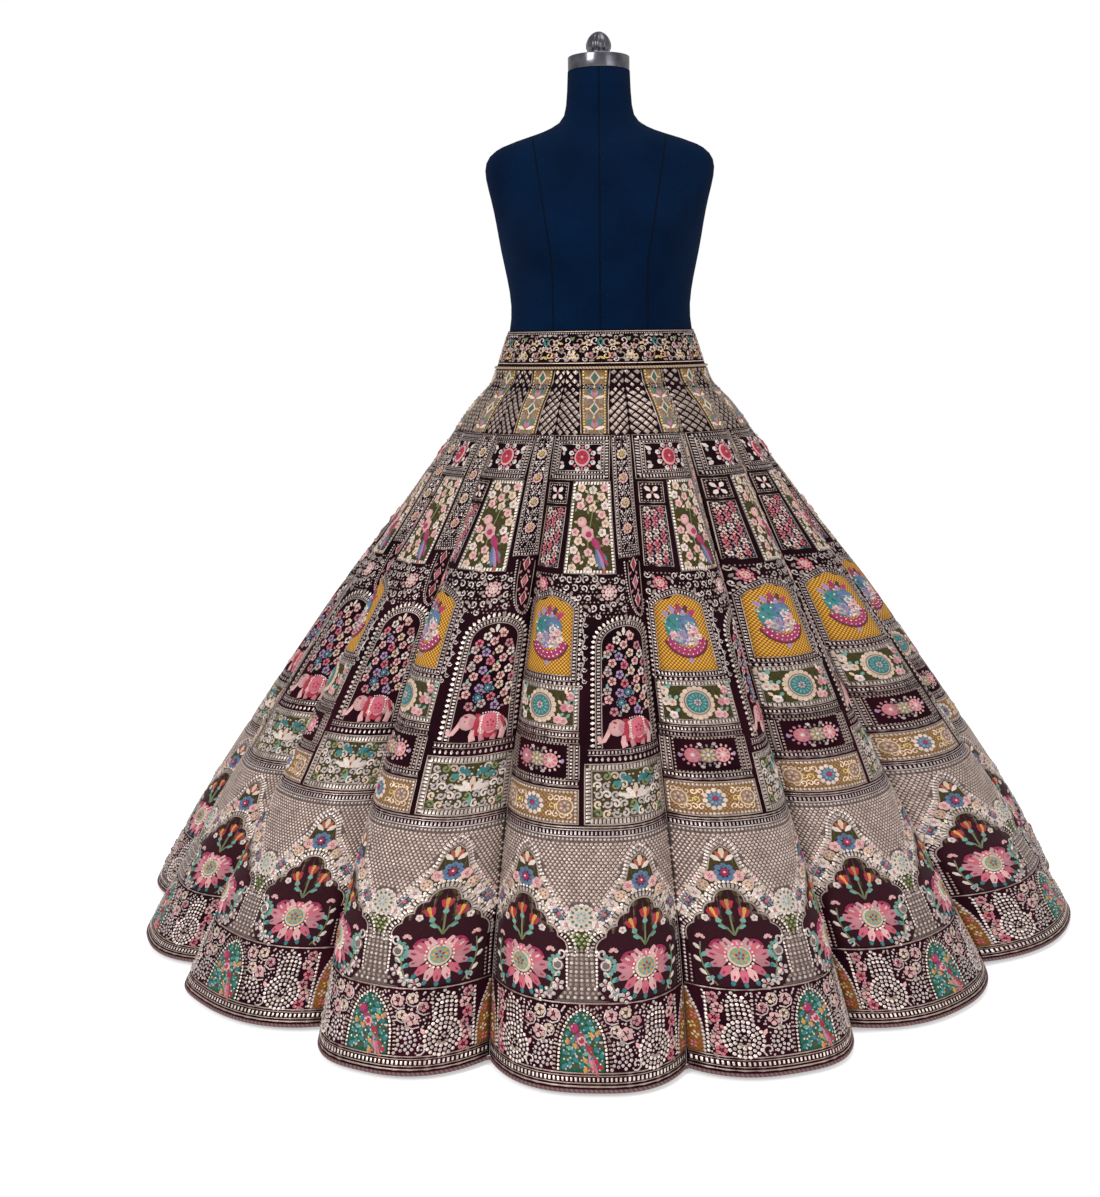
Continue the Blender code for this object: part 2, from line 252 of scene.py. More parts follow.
def corner_numbers(piece):
    """The vertex at each face corner."""
    numbers = np.empty(len(piece.data.loops), np.int32)
    piece.data.loops.foreach_get("vertex_index", numbers)
    return numbers


def lay_map(piece, flat, in_order=False):
    """A UV map from a flat place per vertex, or per face corner if in_order."""
    layer = piece.data.uv_layers.new(name="OFBake")
    flat = flat if in_order else flat[corner_numbers(piece)]
    layer.uv.foreach_set("vector", flat.astype(np.float32).ravel())


def colour_points(piece, colours, cut):
    """A colour per vertex, and its place on the flat cut in metres."""
    layer = piece.data.attributes.new("thread", "FLOAT_COLOR", "POINT")
    layer.data.foreach_set("color", colours.astype(np.float32).ravel())
    layer = piece.data.attributes.new("cut", "FLOAT_VECTOR", "POINT")
    layer.data.foreach_set("vector", cut.astype(np.float32).ravel())


# %% [markdown]
# The velvet is a thin closed wall, two millimetres thick: an outer face, an inner face and a rim round
# both. It is made in mesh code, because its rows and columns can be read straight from the chart.

# %% Cloth walls
def wall_piece(name, outer, inner, closed_round=False):
    """A closed wall between two grids of places."""
    rows, columns = outer.shape[:2]
    points = chain(outer.reshape(-1, 3), inner.reshape(-1, 3))
    index = arange(rows * columns).reshape(rows, columns)
    if closed_round:
        index = np.concatenate([index, index[:, :1]], axis=1)
    a, b = index[:-1, :-1], index[:-1, 1:]
    c, d = index[1:, 1:], index[1:, :-1]
    shell = abreast(a, d, c, b).reshape(-1, 4)
    back = rows * columns + shell[:, ::-1]
    edges = [index[0, :], index[-1, ::-1]]
    if not closed_round:
        edges += [index[::-1, 0], index[:, -1]]
    rims = []
    for edge in edges:
        start, end = edge[:-1], edge[1:]
        rims.append(abreast(start, end, end + rows * columns, start + rows * columns))
    return mesh_piece(name, points, chain(shell, back, *rims))


WALL_ROWS, WALL_COLUMNS = 55, 25
WALL_GRID = np.ix_(linspace(0, CHART_ROWS - 1, WALL_ROWS).round().astype(int),
                   linspace(0, CHART_COLUMNS - 1, WALL_COLUMNS).round().astype(int))


def wall_map(rows, columns):
    """The outer face fills the left half of the map, the inner face the right."""
    down, over = np.meshgrid(linspace(0.99, 0.01, rows), linspace(0.005, 0.495, columns), indexing="ij")
    outer = abreast(over, down).reshape(-1, 2)
    return chain(outer, outer + (0.5, 0))


kali_cloth = []
for number in range(16):
    places, outward = (table[WALL_GRID] for table in CHARTS[number][:2])
    cloth = wall_piece(f"kali_{number + 1:02d}_velvet", places, places - outward * VELVET)
    lay_map(cloth, wall_map(WALL_ROWS, WALL_COLUMNS))
    kali_cloth.append(cloth)
print("velvet faces on each kali:", len(kali_cloth[0].data.polygons))

# %% [markdown]
# The needlework repeats five small shapes thousands of times: a seed bead, a petal, a leaf, a lozenge of
# couched thread and a bugle bead. Each is modelled once from a low cone and read into an array, because
# an array can be laid down a thousand times at once.

# %% Model the stamps
STAMPS = {}


def edit_mode(on=True):
    bpy.ops.object.mode_set(mode="EDIT" if on else "OBJECT")


def select_corners(obj, wanted):
    """Selects the vertices whose place passes the test."""
    edit_mode()
    bpy.ops.mesh.select_all(action="DESELECT")
    bpy.ops.mesh.select_mode(type="VERT")
    edit_mode(False)
    for vertex in obj.data.vertices:
        vertex.select = bool(wanted(vertex.co))
    edit_mode()


def low_cone(corners, turn=0.0):
    deselect_all()
    bpy.ops.mesh.primitive_cone_add(vertices=corners, radius1=1, radius2=0, depth=1, location=(0, 0, 0.5))
    obj = bpy.context.object
    obj.rotation_euler.z = turn
    bpy.ops.object.transform_apply()
    return obj


def keep_stamp(name, obj):
    """Reads the shape as triangles and takes the object away."""
    edit_mode()
    bpy.ops.mesh.select_all(action="SELECT")
    bpy.ops.mesh.quads_convert_to_tris()
    edit_mode(False)
    points = array([vertex.co[:] for vertex in obj.data.vertices])
    faces = array([face.vertices[:] for face in obj.data.polygons])
    faces = faces[points[faces][:, :, 2].max(1) > 0.01]  # no underside
    STAMPS[name] = (points, faces)
    bpy.data.meshes.remove(obj.data)
    print("stamp", name, len(faces), "faces")


cone = low_cone(5)
select_corners(cone, lambda place: place.z > 0.5)
bpy.ops.transform.translate(value=(0.12, -0.1, 0))
keep_stamp("seed", cone)

cone = low_cone(4)
select_corners(cone, lambda place: place.z > 0.5)
bpy.ops.transform.resize(value=(1, 1, 0.9))
keep_stamp("lozenge", cone)

cone = low_cone(4, pi / 4)
select_corners(cone, lambda place: place.z < 0.5)
bpy.ops.transform.resize(value=(sqrt(2), sqrt(2), 1))
keep_stamp("bugle", cone)

# %% Petals and leaves
cone = low_cone(6)
select_corners(cone, lambda place: place.z < 0.5 and place.x < -0.4)
bpy.ops.transform.resize(value=(1, 0.45, 1))
select_corners(cone, lambda place: place.z > 0.5)
bpy.ops.transform.translate(value=(0.25, 0, 0))
keep_stamp("petal", cone)

cone = low_cone(4)
select_corners(cone, lambda place: place.z > 0.5)
bpy.ops.transform.translate(value=(-0.2, 0, 0))
keep_stamp("leaf", cone)

# %% Thread colours and the flat cut
THREADS = {
    "zari": (150, 132, 122), "silver": (186, 172, 168), "ash": (126, 114, 110), "rose": (190, 122, 130),
    "blush": (224, 170, 168), "pink": (206, 96, 116), "cream": (222, 196, 172), "ivory": (228, 212, 202),
    "magenta": (160, 16, 84), "red": (172, 4, 48), "teal": (22, 118, 122), "sea": (104, 164, 154),
    "green": (28, 92, 70), "moss": (116, 130, 84), "straw": (208, 180, 116), "gold": (208, 154, 56),
    "amber": (134, 84, 24), "blue": (84, 112, 150), "lilac": (160, 134, 176), "olive": (64, 58, 22),
    "ochre": (146, 116, 76), "black": (14, 10, 14), "wine": (92, 6, 30), "claret": (48, 3, 17),
    "taupe": (118, 104, 98), "brick": (170, 80, 46), "mouse": (110, 93, 87), "pearly": (188, 168, 158),
}
RNG = np.random.default_rng(11)
LENGTH = KALI_LENGTH * 1000
CUT_SLANTS, CUT_HALVES = array([0, 271, 541, 812, 1083.5]), array([46, 93.5, 126.5, 135, 160])


def linear(name):
    share = array(THREADS[name]) / 255
    return np.where(share <= 0.04045, share / 12.92, ((share + 0.055) / 1.055) ** 2.4)


def half_cut(s):
    """Half the width of the flat cut at a slant, in mm."""
    return smooth_row(np.asarray(s, float), CUT_SLANTS, CUT_HALVES)


def spot(across, s):
    """A flat place from a share of the half width and a slant."""
    return np.stack(np.broadcast_arrays(across * half_cut(s), s), -1).astype(float)


def down_line(across, top, bottom, steps):
    return array([spot(across, s) for s in linspace(top, bottom, steps)])


def cross_line(s, left=-0.985, right=0.985, steps=17):
    return array([spot(u, s) for u in linspace(left, right, steps)])


class Layer:
    """One layer of work: points, faces and colours."""

    def __init__(self):
        self.points, self.faces, self.colours, self.count = [], [], [], 0

    def add(self, points, faces, colours):
        self.points.append(points)
        self.faces.append(faces + self.count)
        self.colours.append(colours)
        self.count += len(points)


grounds, silk, zari = Layer(), Layer(), Layer()


def tell(part):
    print(part, "drawn: zari", zari.count, "points, silk", silk.count)


CUT = {"edge": half_cut, "length": LENGTH}
BARE = -0.25  # the nap gives a little under stitches on bare velvet
SINK = 0.1  # how far the underside of a stitch is drawn into the cloth
ROWS_MM, HALF_MM = 1090, 500
bed_height = np.full((ROWS_MM, 2 * HALF_MM), BARE)  # the ground at each millimetre


def height_at(places):
    row, column = places[:, 1].astype(int), (places[:, 0] + HALF_MM).astype(int)
    return bed_height[row.clip(0, ROWS_MM - 1), column.clip(0, 2 * HALF_MM - 1)]


# %% Lay stamps
STITCH_MARGIN, CORD_MARGIN = 2.2, 1.2  # mm kept free at the seams


def inside(places):
    edge = CUT["edge"](places[:, 1]) - STITCH_MARGIN
    return (np.abs(places[:, 0]) < edge) & (places[:, 1] > 2) & (places[:, 1] < CUT["length"] - 1.5)


def tint(colour, count, spread=0.10):
    """The colour, a little lighter or darker for each stamp."""
    shade = 1 + spread * RNG.standard_normal((count, 1))
    return np.concatenate([linear(colour) * shade.clip(0.6, 1.5), np.ones((count, 1))], 1)


CELL = 2  # millimetres
worked = np.zeros((ROWS_MM // CELL, 2 * HALF_MM // CELL), bool)


def mark_worked(places):
    """Notes that these places carry work."""
    row, column = (places[:, 1] / CELL).astype(int), ((places[:, 0] + HALF_MM) / CELL).astype(int)
    worked[row.clip(0, worked.shape[0] - 1), column.clip(0, worked.shape[1] - 1)] = True


def stitch(layer, stamp, places, size, colour, turn=0.0):
    """Lays one stamp at each place. size is half its length, half its width if that differs, and its
    height, all in mm."""
    places = np.atleast_2d(np.asarray(places, float))
    turn = np.broadcast_to(np.asarray(turn, float), len(places))
    size = np.broadcast_to(array((size[0], *size[-2:]), float), (len(places), 3))
    keep = inside(places)
    places, turn, size = places[keep], turn[keep], size[keep]
    if not len(places):
        return
    shape, faces = STAMPS[stamp]
    cosine, sine = np.cos(turn)[:, None], np.sin(turn)[:, None]
    along, across = shape[:, 0] * size[:, :1], shape[:, 1] * size[:, 1:2]
    x = places[:, :1] + cosine * along - sine * across
    s = places[:, 1:] + sine * along + cosine * across
    mark_worked(abreast(x, s).reshape(-1, 2))
    rise = shape[:, 2] * size[:, 2:] + height_at(places)[:, None] - SINK
    points = abreast(x, s, rise).reshape(-1, 3)
    every = faces[None] + len(shape) * arange(len(places))[:, None, None]
    layer.add(points, every.reshape(-1, 3), np.repeat(tint(colour, len(places)), len(shape), 0))


def petal(places, size, colour, turn):
    stitch(silk, "petal", places, size, colour, turn)


def leaf(places, size, colour, turn):
    stitch(silk, "leaf", places, size, colour, turn)


def knot(places, size, colour):
    stitch(silk, "seed", places, size, colour)


def bead(places, size, colour="silver"):
    stitch(zari, "seed", places, size, colour)


UP, DOWN = -pi / 2, pi / 2  # turns that point towards the waist and towards the hem


def toward(turn):
    return array((cos(turn), sin(turn)))


def ways(turns, squash=1.0):
    return abreast(np.cos(turns), squash * np.sin(turns))


# %% Lines of work
def even_steps(path, pitch, closed):
    """Places at an even pitch along a path, and its direction at each."""
    path = np.asarray(path, float)
    if closed:
        path = chain(path, path[:1])
    along = distance_along(path)
    count = max(int(round(along[-1] / pitch)), 1)
    at = (arange(count) + 0.5) * along[-1] / count
    places = np.stack([interp(at, along, path[:, axis]) for axis in (0, 1)], -1)
    step = np.clip(np.searchsorted(along, at) - 1, 0, len(path) - 2)
    way = path[step + 1] - path[step]
    return places, np.arctan2(way[:, 1], way[:, 0])


def bead_row(path, pitch, radius, colour="silver", closed=False):
    places, _ = even_steps(path, pitch, closed)
    bead(places, (radius, radius * 0.9), colour)


def rungs(path, pitch, length, width, colour="silver", closed=False, stamp="bugle"):
    """Short stitches across a path."""
    places, way = even_steps(path, pitch, closed)
    stitch(zari, stamp, places, (length / 2, width / 2, 1.1), colour, way + DOWN)


def cord(layer, path, width, colour="zari", closed=False, height=1.0):
    """A couched cord: a low ridge, open underneath, where it is sewn down."""
    path = np.asarray(path, float)
    reach = CUT["edge"](path[:, 1]) - CORD_MARGIN
    path = abreast(np.clip(path[:, 0], -reach, reach), path[:, 1].clip(0.8, CUT["length"] - 0.8))
    way = np.roll(path, -1, 0) - np.roll(path, 1, 0)
    if not closed:
        way[0], way[-1] = path[1] - path[0], path[-1] - path[-2]
    way /= norm(way, axis=1, keepdims=True) + 1e-9
    out = abreast(-way[:, 1], way[:, 0]) * width / 2
    low = height_at(path)[:, None] - SINK
    left = np.concatenate([path - out, low], 1)
    top = np.concatenate([path, low + height + SINK], 1)
    right = np.concatenate([path + out, low], 1)
    points = np.stack([left, top, right], 1).reshape(-1, 3)
    i = arange(len(path) - (0 if closed else 1))
    j = (i + 1) % len(path)
    faces = []
    for a, b in ((0, 1), (1, 2)):
        faces.append(abreast(3 * i + a, 3 * j + a, 3 * j + b))
        faces.append(abreast(3 * i + a, 3 * j + b, 3 * i + b))
    if not closed:
        last = 3 * (len(path) - 1)
        faces.append(array([[0, 1, 2], [last + 2, last + 1, last]]))
    layer.add(points, np.concatenate(faces), np.repeat(tint(colour, 1), len(points), 0))
    for share in linspace(0, 1, 6):
        mark_worked(path[i] + share * (path[j] - path[i]))


def fill_open(low, high, left, right, pitch, radius, colour, stamp="seed"):
    """Small stamps wherever the cloth between two slants and two shares across is still open."""
    for row, s in enumerate(arange(low, high, pitch * 0.87)):
        reach = half_cut(s)
        for x in arange(left * reach + pitch * (row % 2) / 2, right * reach, pitch):
            top, side = int((s - radius) / CELL), int((x + HALF_MM - radius) / CELL)
            across = max(int(radius), 1)
            if not worked[top:top + across, side:side + across].any():
                turn = RNG.uniform(0, pi)
                stitch(zari, stamp, (x, s), (radius, radius * 0.8, 1.7), colour, turn)


def ladder(path, width, pitch, colour="zari", rung="silver"):
    """Two couched cords with bugle beads between them."""
    way = unit(np.gradient(path, axis=0))
    out = abreast(-way[:, 1], way[:, 0]) * width / 2
    cord(zari, path - out, 2.0, colour)
    cord(zari, path + out, 2.0, colour)
    rungs(path, pitch, width - 2.2, pitch * 0.62, rung)


# %% Flowers, curls and rings
def circle(centre, radius, steps, start=0.0, sweep=tau, squash=1.0):
    turns = start + linspace(0, sweep, steps, endpoint=sweep < tau)
    return array(centre) + radius * ways(turns, squash)


def petals(centre, count, inner, outer, width, colour, start=UP,
           layer=None, squash=1.0, height=1.5, stamp="petal", sweep=tau):
    """Petals round a centre, from an inner to an outer radius."""
    turns = start + sweep * arange(count) / (count if sweep == tau else max(count - 1, 1))
    places = array(centre) + (inner + outer) / 2 * ways(turns, squash)
    stitch(layer or silk, stamp, places, ((outer - inner) / 2, width / 2, height), colour, turns)


def flower(centre, radius, colour, eye, start):
    petals(centre, 5, radius * 0.16, radius, radius, colour, start)
    bead(centre, (radius * 0.26, 1.7), eye)


def disc(centre, radius, colour, lift, squash=1.0, steps=14):
    """A low round of satin stitch, raised a little in the middle."""
    rim = circle(centre, radius, steps, squash=squash)
    if not inside(rim).all():
        return
    floor = height_at(array([centre]))[0]
    inner = circle(centre, radius * 0.94, steps, squash=squash)
    low = np.pad(rim, ((0, 0), (0, 1)), constant_values=floor - SINK)
    high = np.pad(inner, ((0, 0), (0, 1)), constant_values=floor + lift)
    points = chain(low, high, [[*centre, floor + lift + 0.35]])
    i = arange(steps)
    j = (i + 1) % steps
    mid = np.full(steps, 2 * steps)
    faces = chain(
        abreast(i, j, j + steps), abreast(i, j + steps, i + steps),
        abreast(i + steps, j + steps, mid),
    )
    silk.add(points, faces, np.repeat(tint(colour, 1), len(points), 0))
    left, top = (rim.min(0) + (HALF_MM, 0)).astype(int)
    right, bottom = (rim.max(0) + (HALF_MM + 1, 1)).astype(int)
    down, over = np.mgrid[top:bottom, left:right]
    round_it = ((over - HALF_MM - centre[0]) ** 2 + ((down - centre[1]) / squash) ** 2) < radius**2
    bed_height[top:bottom, left:right][round_it] = floor + lift


def curl(centre, radius, turn, hand, colour, width, steps, layer=None):
    """A little scroll that winds into its own middle."""
    share = linspace(0, 1, steps)
    turns = turn + hand * share * 5.6
    reach = radius * (1 - 0.74 * share)
    path = array(centre) + reach[:, None] * ways(turns)
    if inside(path).all():
        cord(layer or zari, path, width, colour)
        stitch(layer or zari, "seed", path[-1], (width * 0.8, 1.4), colour)


# %% Panels of ground
BED_LIFT, BED_RIM = 0.5, -0.9
BED_STEP = 13.0  # the longest side of a bed's faces, in mm


def ground(rows, colour, kind=1.0):
    """A raised bed from rows of (s, left x, right x). kind is 1 for satin and 0 for gold check."""
    rows = array(rows, float)
    s = rows[:, 0].clip(1.0, CUT["length"] - 1.0)
    reach = CUT["edge"](s) - 0.8
    left, right = np.clip(rows[:, 1], -reach, reach), np.clip(rows[:, 2], -reach, reach)
    need = max(int(np.ceil((s[-1] - s[0]) / BED_STEP)) + 1, len(rows))
    at = np.unique(chain(s, linspace(s[0], s[-1], need)).round(3))
    left, right = interp(at, s, left), interp(at, s, right)
    columns = max(int(np.ceil((right - left).max() / BED_STEP)) + 1, 2)
    share = linspace(0, 1, columns)[None, :]
    x = left[:, None] + (right - left)[:, None] * share
    grid = abreast(x, np.broadcast_to(at[:, None], x.shape), np.full(x.shape, BED_LIFT))
    grid = np.pad(grid, ((1, 1), (1, 1), (0, 0)), mode="edge")
    for edge in (grid[0], grid[-1], grid[:, 0], grid[:, -1]):
        edge[:, 2] = BED_RIM
    index = arange(grid.shape[0] * grid.shape[1]).reshape(grid.shape[:2])
    a, b = index[:-1, :-1].ravel(), index[:-1, 1:].ravel()
    c, d = index[1:, 1:].ravel(), index[1:, :-1].ravel()
    faces = chain(abreast(a, b, c), abreast(a, c, d))
    points = grid.reshape(-1, 3)
    colours = np.repeat(tint(colour, 1, 0.0), len(points), 0)
    colours[:, 3] = kind
    grounds.add(points, faces, colours)
    for row in range(int(s[0]), int(s[-1]) + 1):
        low = int(interp(row, at, left)) + HALF_MM
        high = int(interp(row, at, right)) + HALF_MM + 1
        bed_height[row, low:high] = BED_LIFT


# top and bottom in mm, then shares across
Quad = namedtuple("Quad", "top bottom top_left top_right bottom_left bottom_right")


def corners(quad, inset=0.0):
    """The four corners, clockwise from the top left."""
    top, bottom = quad.top + inset, quad.bottom - inset
    at, ends = (top, bottom), (quad.top, quad.bottom)
    left = interp(at, ends, (quad.top_left, quad.bottom_left)) * half_cut(at) + inset
    right = interp(at, ends, (quad.top_right, quad.bottom_right)) * half_cut(at) - inset
    return array([(left[0], top), (right[0], top), (right[1], bottom), (left[1], bottom)])


def outline(quad, inset):
    """The closed outline, with a point every 18 mm between its corners."""
    turn = corners(quad, inset)
    path = []
    for a, b in zip(turn, np.roll(turn, -1, 0)):
        steps = max(int(norm(b - a) / 18.0), 1)
        path += [a + (b - a) * step / steps for step in range(steps)]
    return array(path)


def bed(quad, colour, kind=1.0):
    a, b, c, d = corners(quad)
    ground([(a[1], a[0], b[0]), (d[1], d[0], c[0])], colour, kind)


def within(quad, across, down):
    """A place in a quad from two shares."""
    a, b, c, d = corners(quad)
    left, right = a[0] + (d[0] - a[0]) * down, b[0] + (c[0] - b[0]) * down
    return array(((1 - across) * left + across * right, a[1] + (d[1] - a[1]) * down))


def cord_frame(quad, inset=0.0, width=2.2, colour="zari"):
    cord(zari, outline(quad, inset), width, colour, True)


def rung_frame(quad, inset, pitch, length, width, colour="silver"):
    rungs(outline(quad, inset), pitch, length, width, colour, True)


def ladder_frame(quad, width):
    cord_frame(quad)
    cord_frame(quad, width)
    rung_frame(quad, width / 2, 5.4, width - 2.4, 5.4 * 0.62)


def bead_frame(quad, pitch=5.2, radius=2.0, colour="silver", inset=0.0):
    bead_row(outline(quad, inset), pitch, radius, colour, closed=True)


def arc_between(a, b, rise, steps=9):
    """A path from a to b that swells to its left."""
    a, b = array(a, float), array(b, float)
    share = linspace(0, 1, steps)[:, None]
    side = array([(b - a)[1], -(b - a)[0]])
    return a + (b - a) * share + side * rise * 4 * share * (1 - share)


# %% [markdown]
# The yoke, below the waistband, is a lattice of couched pads with dark diagonals between them, and one
# ochre strip that runs down it with green diamonds, small lotuses and cream scrolls by turns.

# %% The yoke
STRIP_HALF = 20.5


def strip_middle(s):
    return interp(s, (0, 60, 120), (0.0, 1.0, 5.0))


lattice = []
for row, s in enumerate(arange(4, 122, 7.6)):
    from_seam = arange(-0.5 if row % 2 else 0.0, 8) * 14.0 + 2.4
    for side in (-1, 1):
        x = side * (half_cut(s) - from_seam)
        lattice += [(a, s) for a in x if side * (a - strip_middle(s)) > STRIP_HALF + 6.5]
lattice = array(lattice)
stitch(zari, "lozenge", lattice, (6.2, 6.6, 2.0), "zari")
stitch(zari, "lozenge", lattice + (0.5, -0.7), (3.6, 3.9, 2.8), "silver")

strip = [(s, strip_middle(s) - STRIP_HALF, strip_middle(s) + STRIP_HALF) for s in (1, 30, 60, 90, 121)]
ground(strip, "ochre", 0.7)
for side in (-1, 1):
    edge = array([(strip_middle(s) + side * (STRIP_HALF + 0.6), s) for s in arange(1, 122, 15.0)])
    cord(zari, edge, 1.8, "black")
    cord(zari, edge + (side * 3.0, 0), 2.8)
    bead_row(edge - (side * 3.0, 0), 5.2, 1.9, "straw")
for number, s in enumerate((14.0, 44.0, 74.0, 104.0)):
    mid = array((float(strip_middle(s)), s))
    if number % 2 == 0:
        cord(silk, mid + array(((0, -11.5), (8.2, 0), (0, 11.5), (-8.2, 0))), 3.2, "ivory", True, 1.8)
        stitch(silk, "lozenge", mid, (5.8, 8.4, 1.6), "green")
        for turn, reach in ((0, 12.0), (pi, 12.0), (UP, 15.5), (DOWN, 15.5)):
            petal(mid + reach * toward(turn), (4.2, 2.4, 1.6), "cream", turn)
    else:
        for side in (-1, 1):
            petal(mid + (side * 8.2, -5.0), (7.6, 4.6, 2.0), "teal", UP + side * 0.75)
            petal(mid + (side * 9.5, 6.5), (9.8, 3.6, 2.0), "ivory", UP + side * 1.25)
            petal(mid + (side * 3.8, -1.0), (6.4, 2.6, 2.4), "lilac", UP + side * 0.35)
        petal(mid + (0, 1.5), (6.2, 3.2, 3.0), "pink", UP)
    for side in (-1, 1):
        for rise, hand in ((-12.5, -side), (12.5, side)):
            curl(mid + (side * 12.8, rise), 5.6, side * 1.2, hand, "zari", 2.4, 7, silk)
            curl(mid + (side * 5.0, rise * 1.3), 4.0, side * 2.4, -hand, "ash", 2.0, 6, silk)
print("yoke: pads", len(lattice))

# %% [markdown]
# Under the yoke each kali carries a square with a red oval flower beside a column of round flowers, and
# below the square a small dark panel of blossoms beside a tall olive panel with sprays and a bird.

# %% The square with the oval flower
square = Quad(124, 204, -0.97, 0.46, -0.96, 0.42)
ladder_frame(square, 10.0)
ladder_frame(Quad(134, 194, -0.84, 0.33, -0.84, 0.30), 6.0)
heart = within(square, 0.54, 0.51)
petals(heart, 8, 14.5, 27.0, 11.5, "ivory", start=pi / 8, squash=1.04, height=2.0)
petals(heart, 8, 16.0, 24.0, 6.4, "blue", start=pi / 8, squash=1.04, height=2.8)
petals(heart, 8, 14.0, 22.5, 6.0, "pink", start=0, squash=1.04, height=2.4)
disc(heart, 14.6, "blush", 1.6, squash=1.12)
disc(heart, 11.6, "red", 0.9, squash=1.12)
petals(heart, 6, 3.0, 9.6, 3.4, "wine", height=1.6, stamp="leaf")
knot(heart, (2.8, 2.0), "blush")
for across, down, turn in ((0.20, 0.30, 0.7), (0.83, 0.30, 2.4), (0.20, 0.72, -0.7), (0.83, 0.72, -2.4)):
    place = within(square, across, down)
    petal(place, (7.6, 4.6, 2.0), "ivory", turn)
    petal(place + (0, 8 if down < 0.5 else -8), (5.4, 3.2, 1.7), "silver", turn + 0.9)


# %% The column of round flowers
column = Quad(124, 340, 0.50, 0.985, 0.55, 0.985)
cord_frame(column)
rung_frame(column, 3.0, 5.4, 4.4, 3.4)
cord_frame(column, 6.0, 1.8)
cord(zari, [within(column, 0.5, down) for down in linspace(0.03, 0.98, 8)], 1.9, "ash")
for step, down in enumerate((0.16, 0.36, 0.56, 0.77)):
    mid = within(column, 0.5, down)
    petals(mid, 8, 4.0, 10.0, 7.8, ("cream", "blush")[step % 2], height=2.2)
    disc(mid, 4.5, "straw", 1.8, steps=8)
    knot(mid, (2.0, 1.6), "brick")
    for side in (-1, 1):
        for rise, turn in ((-15.5, UP - side * 0.5), (15.5, DOWN + side * 0.5)):
            stitch(zari, "petal", mid + (side * 6.2, rise), (5.0, 2.6, 1.8), "silver", turn)
    petals(mid + (0, 21.0), 4, 0.8, 4.8, 3.4, "silver", start=0, layer=zari)
fill_open(132, 336, 0.55, 0.97, 4.6, 1.9, "silver")


# %% The rounded finger with three diamonds
finger = array([(s, left * half_cut(s), right * half_cut(s)) for s, left, right in (
    (346, 0.64, 0.985), (380, 0.65, 0.985), (408, 0.68, 0.985), (425, 0.72, 0.975), (437, 0.78, 0.94),
    (443, 0.86, 0.89))])
line = chain(finger[:, (2, 0)], finger[::-1, (1, 0)])
bead_row(line, 5.0, 2.1)
cord(zari, line.mean(0) + (line - line.mean(0)) * (0.76, 0.93), 1.8)
for s, colour in ((354, "red"), (385, "pink"), (415, "red")):
    left, right = (interp(s, finger[:, 0], finger[:, k]) for k in (1, 2))
    mid = array(((left + right) / 2, s))
    cord(silk, mid + array(((0, -11.5), (5.8, 0), (0, 11.5), (-5.8, 0))), 3.4, "blush", True, 1.8)
    stitch(silk, "lozenge", mid, (4.2, 7.6, 2.2), colour)
    for side in (-1, 1):
        petal(mid + (side * 6.8, 14.5), (4.8, 2.8, 1.7), "rose", DOWN - side * 0.7)
        knot(mid + (side * 8.2, -6.5), (2.0, 1.7), "silver")

# %% The small square, the panel of blossoms and the olive panel
crossed = Quad(210, 246, -0.93, -0.46, -0.93, -0.47)
cord_frame(crossed, 0.0, 2.4)
bead_frame(crossed, colour="zari", inset=3.4)
centre = within(crossed, 0.5, 0.5)
for turn in (pi / 4, 3 * pi / 4, 5 * pi / 4, 7 * pi / 4):
    petal(centre + 8.4 * toward(turn), (7.4, 4.8, 2.2), "ivory", turn)
knot(centre, (3.0, 3.0), "pink")

blossoms = Quad(252, 358, -0.93, -0.47, -0.95, -0.49)
cord_frame(blossoms, 0.0, 2.6)
bead_frame(blossoms, 5.0, 1.6, "ash", 3.2)
for step, down in enumerate(linspace(0.08, 0.92, 9)):
    for side in (-1, 0, 1):
        mid = within(blossoms, 0.5 + side * 0.27, down + (0.026 if side == 0 else -0.02))
        colour = ("blush", "pink", "rose", "ivory")[(step + side) % 4]
        flower(mid, 6.4, colour, "brick", step + side)
        leafy = ("blue", "silver", "teal")[(step + side) % 3]
        leaf(mid + (7.0, 4.5), (3.8, 2.2, 1.8), leafy, step * 1.1)

olive = Quad(207, 367, -0.36, 0.44, -0.38, 0.48)
bed(olive, "olive")
cord_frame(olive, 0.0, 1.8, "ash")
rung_frame(olive, 3.2, 5.6, 4.8, 3.8, "ivory")
stem = [within(olive, 0.50 + 0.05 * sin(7 * d), d) for d in linspace(0.05, 0.95, 14)]
cord(silk, stem, 1.7, "moss")
head, tail_tip = within(olive, 0.30, 0.42), within(olive, 0.80, 0.92)
along_bird = (tail_tip - head) / norm(tail_tip - head)
for row, down in enumerate(linspace(0.07, 0.94, 10)):
    for column, across in enumerate((0.20, 0.50, 0.80)):
        mid = within(olive, across + 0.04 * (-1) ** row, down + 0.025 * (column == 1))
        along = np.clip((mid - head) @ along_bird, 0, norm(tail_tip - head))
        if norm(mid - head - along * along_bird) < 15:
            continue
        flower(mid, 8.0, ("cream", "ivory", "blush")[(row + column) % 3], "rose", row * 0.7 + column)
        petal(mid + (9.0, 6.0), (4.4, 2.6, 1.9), "cream", 0.6 + row)
        petal(mid + (-8.0, 7.5), (4.0, 2.4, 1.8), "moss", 2.2 - column)


